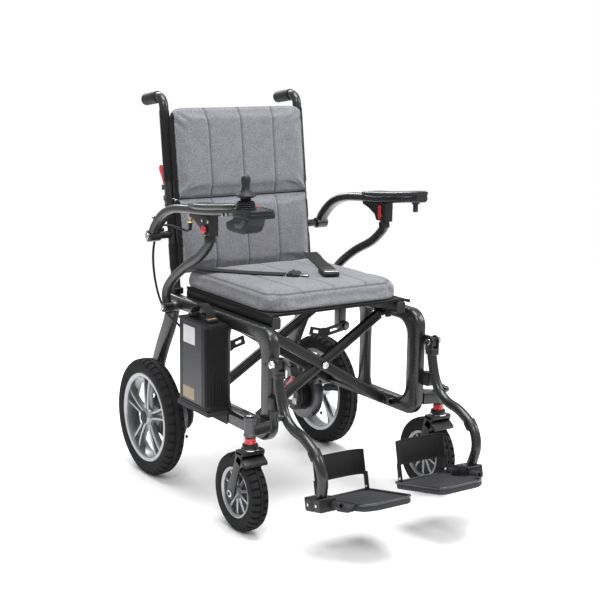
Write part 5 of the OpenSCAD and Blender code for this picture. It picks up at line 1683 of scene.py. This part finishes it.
@dataclass
class Footrest(Sided):
    """One footrest: swing-up hanger, hinged footplate and heel strap."""

    x: float = 225.0
    hinge: tuple[float, float] = (-548.0, 412.0)
    plate: tuple[float, float, float] = (200.0, -712.0, 124.0)
    tilt: float = 12.0
    width: float = 160.0
    toe: float = 118.0
    thick: float = 16.0

    @property
    def turn(self) -> Matrix:
        """Placement of what is drawn about the footplate's hinge."""
        return Matrix.Translation(self.plate) @ Matrix.Rotation(-math.radians(self.tilt), 4, "X")

    def build(self) -> None:
        """Makes the hanger, the plate and the strap."""
        self.hanger()
        self.footplate()
        self.strap()

    def hanger(self) -> None:
        """Makes the bent tube with its pivot block, knob and clamp blocks."""
        y, z = self.hinge
        line = smooth_path([(self.x, y, z - 16), (self.x, y - 2, z - 40), (self.x, y - 14, z - 82),
                            (self.x, y - 34, z - 118), (self.x, y - 66, z - 138), (self.x, y - 110, z - 148),
                            (self.x, y - 150, 244), (self.x, y - 172, 222), (self.x - 3, -730, 186),
                            (self.x - 8, -718, 138)], 6)
        shape = Shape().sweep(line, circle(12.3))
        shape.use(1)
        for s in (-1, 1):
            cheek = [*arc((y, z), 15, -20, 200, 12), (y - 13.5, z - 24), (y + 13, z - 24)]
            shape.plate(cheek, self.x + s * 9.2 - 2.7, 5.4, 1.4)
        shape.box((self.x - 12, y - 15, z - 34), (self.x + 12, y + 13, z - 17.4), 3)
        shape.lathe([(11, 0), (14.2, 0), (15, 1.2), (15, 20), (14, 21.4), (11, 21.4)], (self.x, y - 148, 246),
                    (0, -0.7, -0.72), 36)
        blocks = Shape(self.turn)
        for y0, y1 in ((-32, -1.2), (1.2, 32)):
            blocks.use(1).box((-9, y0, -14), (37, y1, 18), 4, 4)
            blocks.use(2).rod((14, (y0 + y1) / 2, 17.4), (14, (y0 + y1) / 2, 20.2), 4.6, 0.8, 6)
            blocks.rod((36.4, (y0 + y1) / 2, 2), (39.2, (y0 + y1) / 2, 2), 4.4, 0.8, 6)
        blocks.use(1).box((-8, -2, -12), (36, 2, 16), 0.5).use(2).rod((0, -48, 0), (0, 48, 0), 4.9)
        shape.take(blocks)
        shape.use(2).rod((self.x + 12, y, z), (self.x + 23.5, y, z), 9.5, 2, 6)
        shape.rod((self.x - 14, y, z), (self.x - 11.6, y, z), 8, 0.8)
        shape.use(0).rod((self.x + 10, y - 36, z - 116), (self.x + 25, y - 36, z - 116), 8, 3)
        self.piece("hanger_tube_*", shape, (CARBON, BLACK_METAL, BRIGHT), "hanger_*", "hanger_*", "carbon")

    def outline(self, inset: float = 0.0) -> list[tuple[float, float]]:
        """The plate's outline in plan, drawn in by an inset."""
        w, f, b, r = self.width - inset, -self.toe + inset, 64 - inset, 24
        return [(-inset, -74 + inset * 0.4), (-30, f + 16), (-46, f + 5), (-60, f),
                *arc((-w + r, f + r), r, 270, 180, 7), *arc((-w + 14, b - 14), 14, 180, 90, 5), (-inset, b)]

    def footplate(self) -> None:
        """Makes the plate with its raised rim, chequered field and hinge ears."""
        shape = Shape(self.turn)
        clear = [(-24.4, -74), *[q for q in self.outline() if q[0] < -24.4], (-24.4, 64)]
        shape.slab(clear, -self.thick, self.thick - 2.4, 4, 4)
        ring = [(x, y, -0.9) for x, y in self.outline(1.5) if x < -26]
        path = smooth_path([(-28, -76, -1.6), *ring, (-28, 62, -1.6)], 2)
        shape.use(2).sweep(path, oval(5.5, 4.6, 1.6), across=(0, 0, 1))
        field = [(-36, -68), *[q for q in self.outline(10) if q[0] < -36], (-36, 54)]
        shape.use(1).slab(field, -3.4, 2.3, 0.6, 2)
        shape.use(0)
        for y0, y1, start, end in ((-74, -32.4, -60, -32.4), (32.4, 64, 32.4, 50)):
            shape.box((-26, y0, -self.thick), (-4, y1, -2), 3)
            knuckle = [(5.1, start), (8.6, start), (9, start + 1), (9, end - 1), (8.6, end), (5.1, end)]
            shape.lathe(knuckle, (0, 0, 0), (0, 1, 0), 32)
            shape.box((-12, max(start + 0.5, -48), -9), (-3, min(end - 0.5, 48), -2), 1.5)
        self.piece("footplate_shell_*", shape, (PLASTIC, FIELD, GREY_METAL), "footplate_*", "footplate_*",
                   "black_plastic")

    def strap(self) -> None:
        """Makes the wide heel strap with stitched hems and its two ends on the plate."""
        inner = -self.width + 9
        band = smooth_path([(-11, 48, 66), (-18, 62, 66), (-40, 70, 66), (-80, 72.5, 66), (inner + 26, 71, 66),
                            (inner + 7, 63, 66), (inner, 50, 66)], 6)
        part = Shape(self.turn).sweep(band, oval(60, 2.8, 1.2, 2), across=(0, 0, 1))
        for hem in (38.5, 93.5):
            part.sweep([p + Vector((0, 0, hem - 66)) for p in band], oval(4, 3.6, 1.5, 2), across=(0, 0, 1))
        for x in (-11, inner):
            part.box((x - 1.4, 42, 0.4), (x + 1.4, 58, 44), 1)
        part.use(1)
        for x in (-11, inner):
            part.rod((x - 2.2, 50, 8), (x + 2.2, 50, 8), 3.6, 0.8, 20)
        obj = self.piece("heel_strap_*", part, (STRAP, BRIGHT), "footplate_*", "calf_strap_*", "webbing", 50)
        x, y, z = self.plate
        self.side.value * x * MM
        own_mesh(obj)


# ---- battery ----


@dataclass
class Battery:
    """The side battery with its strap handle."""

    shop: Workshop
    x: float = 233.0
    front: float = -335.0
    length: float = 148.0
    thick: float = 56.0
    low: float = 250.0
    height: float = 216.0

    def build(self) -> None:
        """Makes the case and the handle."""
        self.case()
        self.handle()

    def case(self) -> None:
        """Makes the case: ribbed rubber front edge, grooved metal face, end caps and blank labels."""
        f, b, x, t, z, h = self.front, self.front + self.length, self.x, self.thick, self.low, self.height
        r = 16
        body = [(x + 1, b - 2), (x + 1, f + 20), (x + t - 1.5, f + 20), (x + t - 1.5, b - 2)]
        shape = Shape().slab(body, z + 3, h - 6, 3, 4)
        shape.use(1)
        for y in (f + 30, b - 14):
            shape.box((x + t - 2.2, y, z + 6), (x + t - 0.2, y + 2.4, z + h - 6), 0.7)
            shape.box((x + t - 2.2, y + 6, z + 6), (x + t - 0.6, y + 7.6, z + h - 6), 0.5)
        cap = [(x, b), (x, f), *arc((x + t - r, f + r), r, 270, 360, 6), (x + t, b)]
        shape.use(2).slab(cap, z, 9, 3, 3).slab(cap, z + h - 9, 9, 3, 3)
        edge = [(x, f + 24), (x, f + 0.5), *arc((x + t - r, f + r), r - 0.5, 270, 360, 6), (x + t - 0.5, f + 24)]
        shape.slab(edge, z + 4, h - 8, 1.2, 2)
        ribs = [*arc((x + t - r, f + r), r - 0.4, 270, 360, 7),
                *((x + t - r - i * 6.2, f + 0.4) for i in range(1, 6))]
        for cx, cy in ribs:
            shape.rod((cx, cy, z + 12), (cx, cy, z + h - 12), 1.5, 0.6, 10)
        shape.use(3).box((x + t - 1.9, b - 80, z + h - 62), (x + t - 1.1, b - 22, z + h - 18), 0.3)
        shape.use(4).box((x + t - 1.9, b - 76, z + 14), (x + t - 1.1, b - 20, z + 44), 0.3)
        shape.use(2).rod((x + t / 2 - 14, b - 9, z + h - 1), (x + t / 2 - 14, b - 9, z + h + 1.5), 6, 0.8, 28)
        self.shop.piece("battery_shell", shape, (BATTERY, GREY_METAL, BATTERY_EDGE, LABEL, TAN_LABEL), Side.RIGHT,
                        "battery", ("battery_case",), "battery")

    def handle(self) -> None:
        """Makes the webbing handle with its end fittings."""
        z, y0, y1 = self.low + self.height, self.front + 30, self.front + self.length - 30
        x, m = self.x + self.thick / 2, (y0 + y1) / 2
        line = smooth_path([(x, y0, z + 7), (x, y0 + 12, z + 24), (x, m, z + 37.6), (x, y1 - 12, z + 24),
                            (x, y1, z + 7)], 8)
        shape = Shape().sweep(line, oval(24, 3.8, 1.4, 2))
        for y in (y0, y1):
            shape.use(1).box((x - 14, y - 8, z + 0.3), (x + 14, y + 8, z + 10), 3)
            shape.use(2).box((x - 11, y - 6, z + 8), (x + 13.6, y + 6, z + 10.8), 1)
            for s in (-8, 8):
                shape.rod((x + s, y, z + 10), (x + s, y, z + 11.8), 2.6, 0.6, 16)
            shape.use(1).rod((x, y, z - 6.8), (x, y, z + 2), 3.9)
        self.shop.piece("battery_strap_handle", shape, (STRAP, PLASTIC, BRASS), Side.RIGHT, "battery",
                        ("battery_handle",), "webbing")


@dataclass
class Cable:
    """The joystick's cable, clipped behind the post on its way to the battery dock."""

    shop: Workshop
    radius: float = 3.0
    route: tuple[tuple[float, float, float], ...] = (
        (262, -200, 694.7), (262, -197, 683), (258, -176, 672), (250, -140, 670), (240, -80, 668),
        (232, -20, 664), (231, 22, 654), (236, 40, 620), (240, 44, 570), (239, 34, 510), (238, 8, 462),
        (238, -30, 434), (238, -80, 420), (240, -120, 408), (250, -150, 402), (256, -167, 400), (256, -178.6, 400),
    )

    def build(self) -> None:
        """Makes the sheath, its strain reliefs and the clip."""
        line = smooth_path(self.route, 5)
        shape = Shape().sweep(line, circle(self.radius, 14))
        for at, way in ((line[0], line[3] - line[0]), (line[-1], line[-4] - line[-1])):
            shape.lathe([(3.1, 0), (5.4, 0), (5, 4), (4.4, 5), (4.8, 9), (4.0, 10), (4.3, 14), (3.6, 18),
                         (3.1, 18)],
                        tuple(at), tuple(way.normalized()), 24)
        shape.use(1).box((222, 12, 640), (235.5, 34, 652), 3)
        self.shop.piece("joystick_cable_sheath", shape, (CABLE, PLASTIC), Side.RIGHT, "right_side",
                        ("joystick_cable",), "cable", 50)


# ---- studio ----


class Studio:
    """The floor, lights and camera round the chair."""

    LAMPS: tuple[tuple[Point, float, float], ...] = (
        ((-2.2, -2.6, 3.4), 62.0, 1.4), ((2.8, -1.8, 2.6), 62.0, 1.6),
        ((0.2, -0.4, 4.2), 200.0, 2.6), ((0.4, 2.8, 2.6), 60.0, 1.8),
    )

    def __init__(self, axle_y: float) -> None:
        """Sets the stage for a chair whose rear axle is at axle_y millimetres."""
        self.axle_y = axle_y

    def build(self) -> None:
        """Makes the floor, the world's light, four lamps and the camera."""
        self.floor()
        self.world()
        for place, energy, size in self.LAMPS:
            self.lamp(place, energy, size)
        self.camera()

    def floor(self) -> None:
        """Makes the plain pale floor."""
        bm = bmesh.new()
        bmesh.ops.create_grid(bm, x_segments=1, y_segments=1, size=6)
        mesh = bpy.data.meshes.new("floor")
        bm.to_mesh(mesh)
        bm.free()
        floor = bpy.data.objects.new("floor", mesh)
        bpy.context.scene.collection.objects.link(floor)
        paint = Paint("floor")
        x, y, _ = paint.axes()
        reach = (x * x + y * y).lift(0.5) / 1000
        mesh.materials.append(paint.finish(Base_Color=(0.95, 0.95, 0.95), Roughness=0.8, Specular_IOR_Level=0.1,
                                           Alpha=((3.4 - reach) / 2.2).clear()))

    def world(self) -> None:
        """Lights the scene evenly, with a white ground behind the chair."""
        world = bpy.data.worlds.new("studio")
        bpy.context.scene.world = world
        world.use_nodes = True
        tree = Tree(world.node_tree)
        seen = tree.node("ShaderNodeLightPath", {}, {}).outputs["Is Camera Ray"]
        strength = tree.node("ShaderNodeMapRange", {}, {"Value": seen, "To Min": 0.52, "To Max": 1.0})
        sky = tree.node("ShaderNodeBackground", {}, {"Color": (1.0, 1.0, 1.0, 1.0),
                                                     "Strength": strength.outputs[0]})
        tree.node("ShaderNodeOutputWorld", {}, {"Surface": sky.outputs[0]})
        bpy.context.scene.view_settings.view_transform = "Standard"

    def lamp(self, place: Point, energy: float, size: float) -> None:
        """Adds one soft square lamp aimed at the chair."""
        data = bpy.data.lights.new("lamp", "AREA")
        data.energy, data.size = energy, size
        lamp = bpy.data.objects.new("lamp", data)
        lamp.location = place
        lamp.rotation_euler = (Vector((0, 0, 0.45)) - Vector(place)).to_track_quat("-Z", "Y").to_euler()
        bpy.context.scene.collection.objects.link(lamp)

    def camera(self) -> None:
        """Stands the camera ahead of the chair's right side, slightly above the armrests."""
        heading, drop, roll = math.radians(-33.561), math.radians(11.621), math.radians(0.836)
        forward = Vector((-math.sin(heading) * math.cos(drop), math.cos(heading) * math.cos(drop), -math.sin(drop)))
        right = forward.cross(Vector((0, 0, 1))).normalized()
        up = right.cross(forward)
        across = right * math.cos(roll) + up * math.sin(roll)
        rise = up * math.cos(roll) - right * math.sin(roll)
        data = bpy.data.cameras.new("camera")
        data.sensor_width, data.lens = 36.0, 36.0 * 1319.5 / 600
        camera = bpy.data.objects.new("camera", data)
        turn = Matrix((across, rise, -forward)).transposed().to_4x4()
        camera.matrix_world = Matrix.Translation((-1.8025, -3.0108 + self.axle_y * MM, 1.1638)) @ turn
        bpy.context.scene.collection.objects.link(camera)
        bpy.context.scene.camera = camera


class Wheelchair:
    """The whole chair, built sub-assembly by sub-assembly."""

    KEPT: dict[str, Finish] = {
        "battery_dock": PLASTIC, "joystick_gimbal": GREY_METAL,
        "clutch_lever_right": RED, "clutch_lever_left": RED,
        "guide_link_right": BLACK_METAL, "guide_link_left": BLACK_METAL,
    }

    def __init__(self, frame: dict[str, Any]) -> None:
        """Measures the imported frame."""
        self.frame = frame
        low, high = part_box("rear_tyre_left")
        self.shop = Workshop((low[1] + high[1]) / 2 / MM)

    def build(self) -> list[str]:
        """Makes every piece and returns their names."""
        shop = self.shop
        Studio(shop.axle_y).build()
        for side in Side:
            for kind in (SideFrame, DriveWheel, Caster, CrossBrace, SeatRail, BackPost, Armrest, Footrest):
                kind(shop, side).build()
        SeatSling(shop).build()
        SeatCushion(shop, "seat_pad", "seat_rail_right", "seat_cushion").build()
        BackCushion(shop, "back_pad_lower", "right_side", "back_cushion_lower", cap=7.0, high=727.0,
                    bottom=-9.0).build()
        BackCushion(shop, "back_pad_upper", "upper_back_right", "back_cushion_upper", cap=7.0, low=727.6,
                    high=962.0, round_top=True).build()
        for whole in (LapBelt(shop), Joystick(shop), Battery(shop), Cable(shop)):
            whole.build()
        for node, finish in self.KEPT.items():
            shop.dress(self.frame, node, finish)
        return shop.made


def main() -> None:
    """Builds the chair on its frame."""
    logging.basicConfig(level=logging.INFO, format="%(message)s")
    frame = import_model()
    made = Wheelchair(frame).build()
    LOG.info("%d pieces", len(made))


if __name__ == "__main__":
    main()
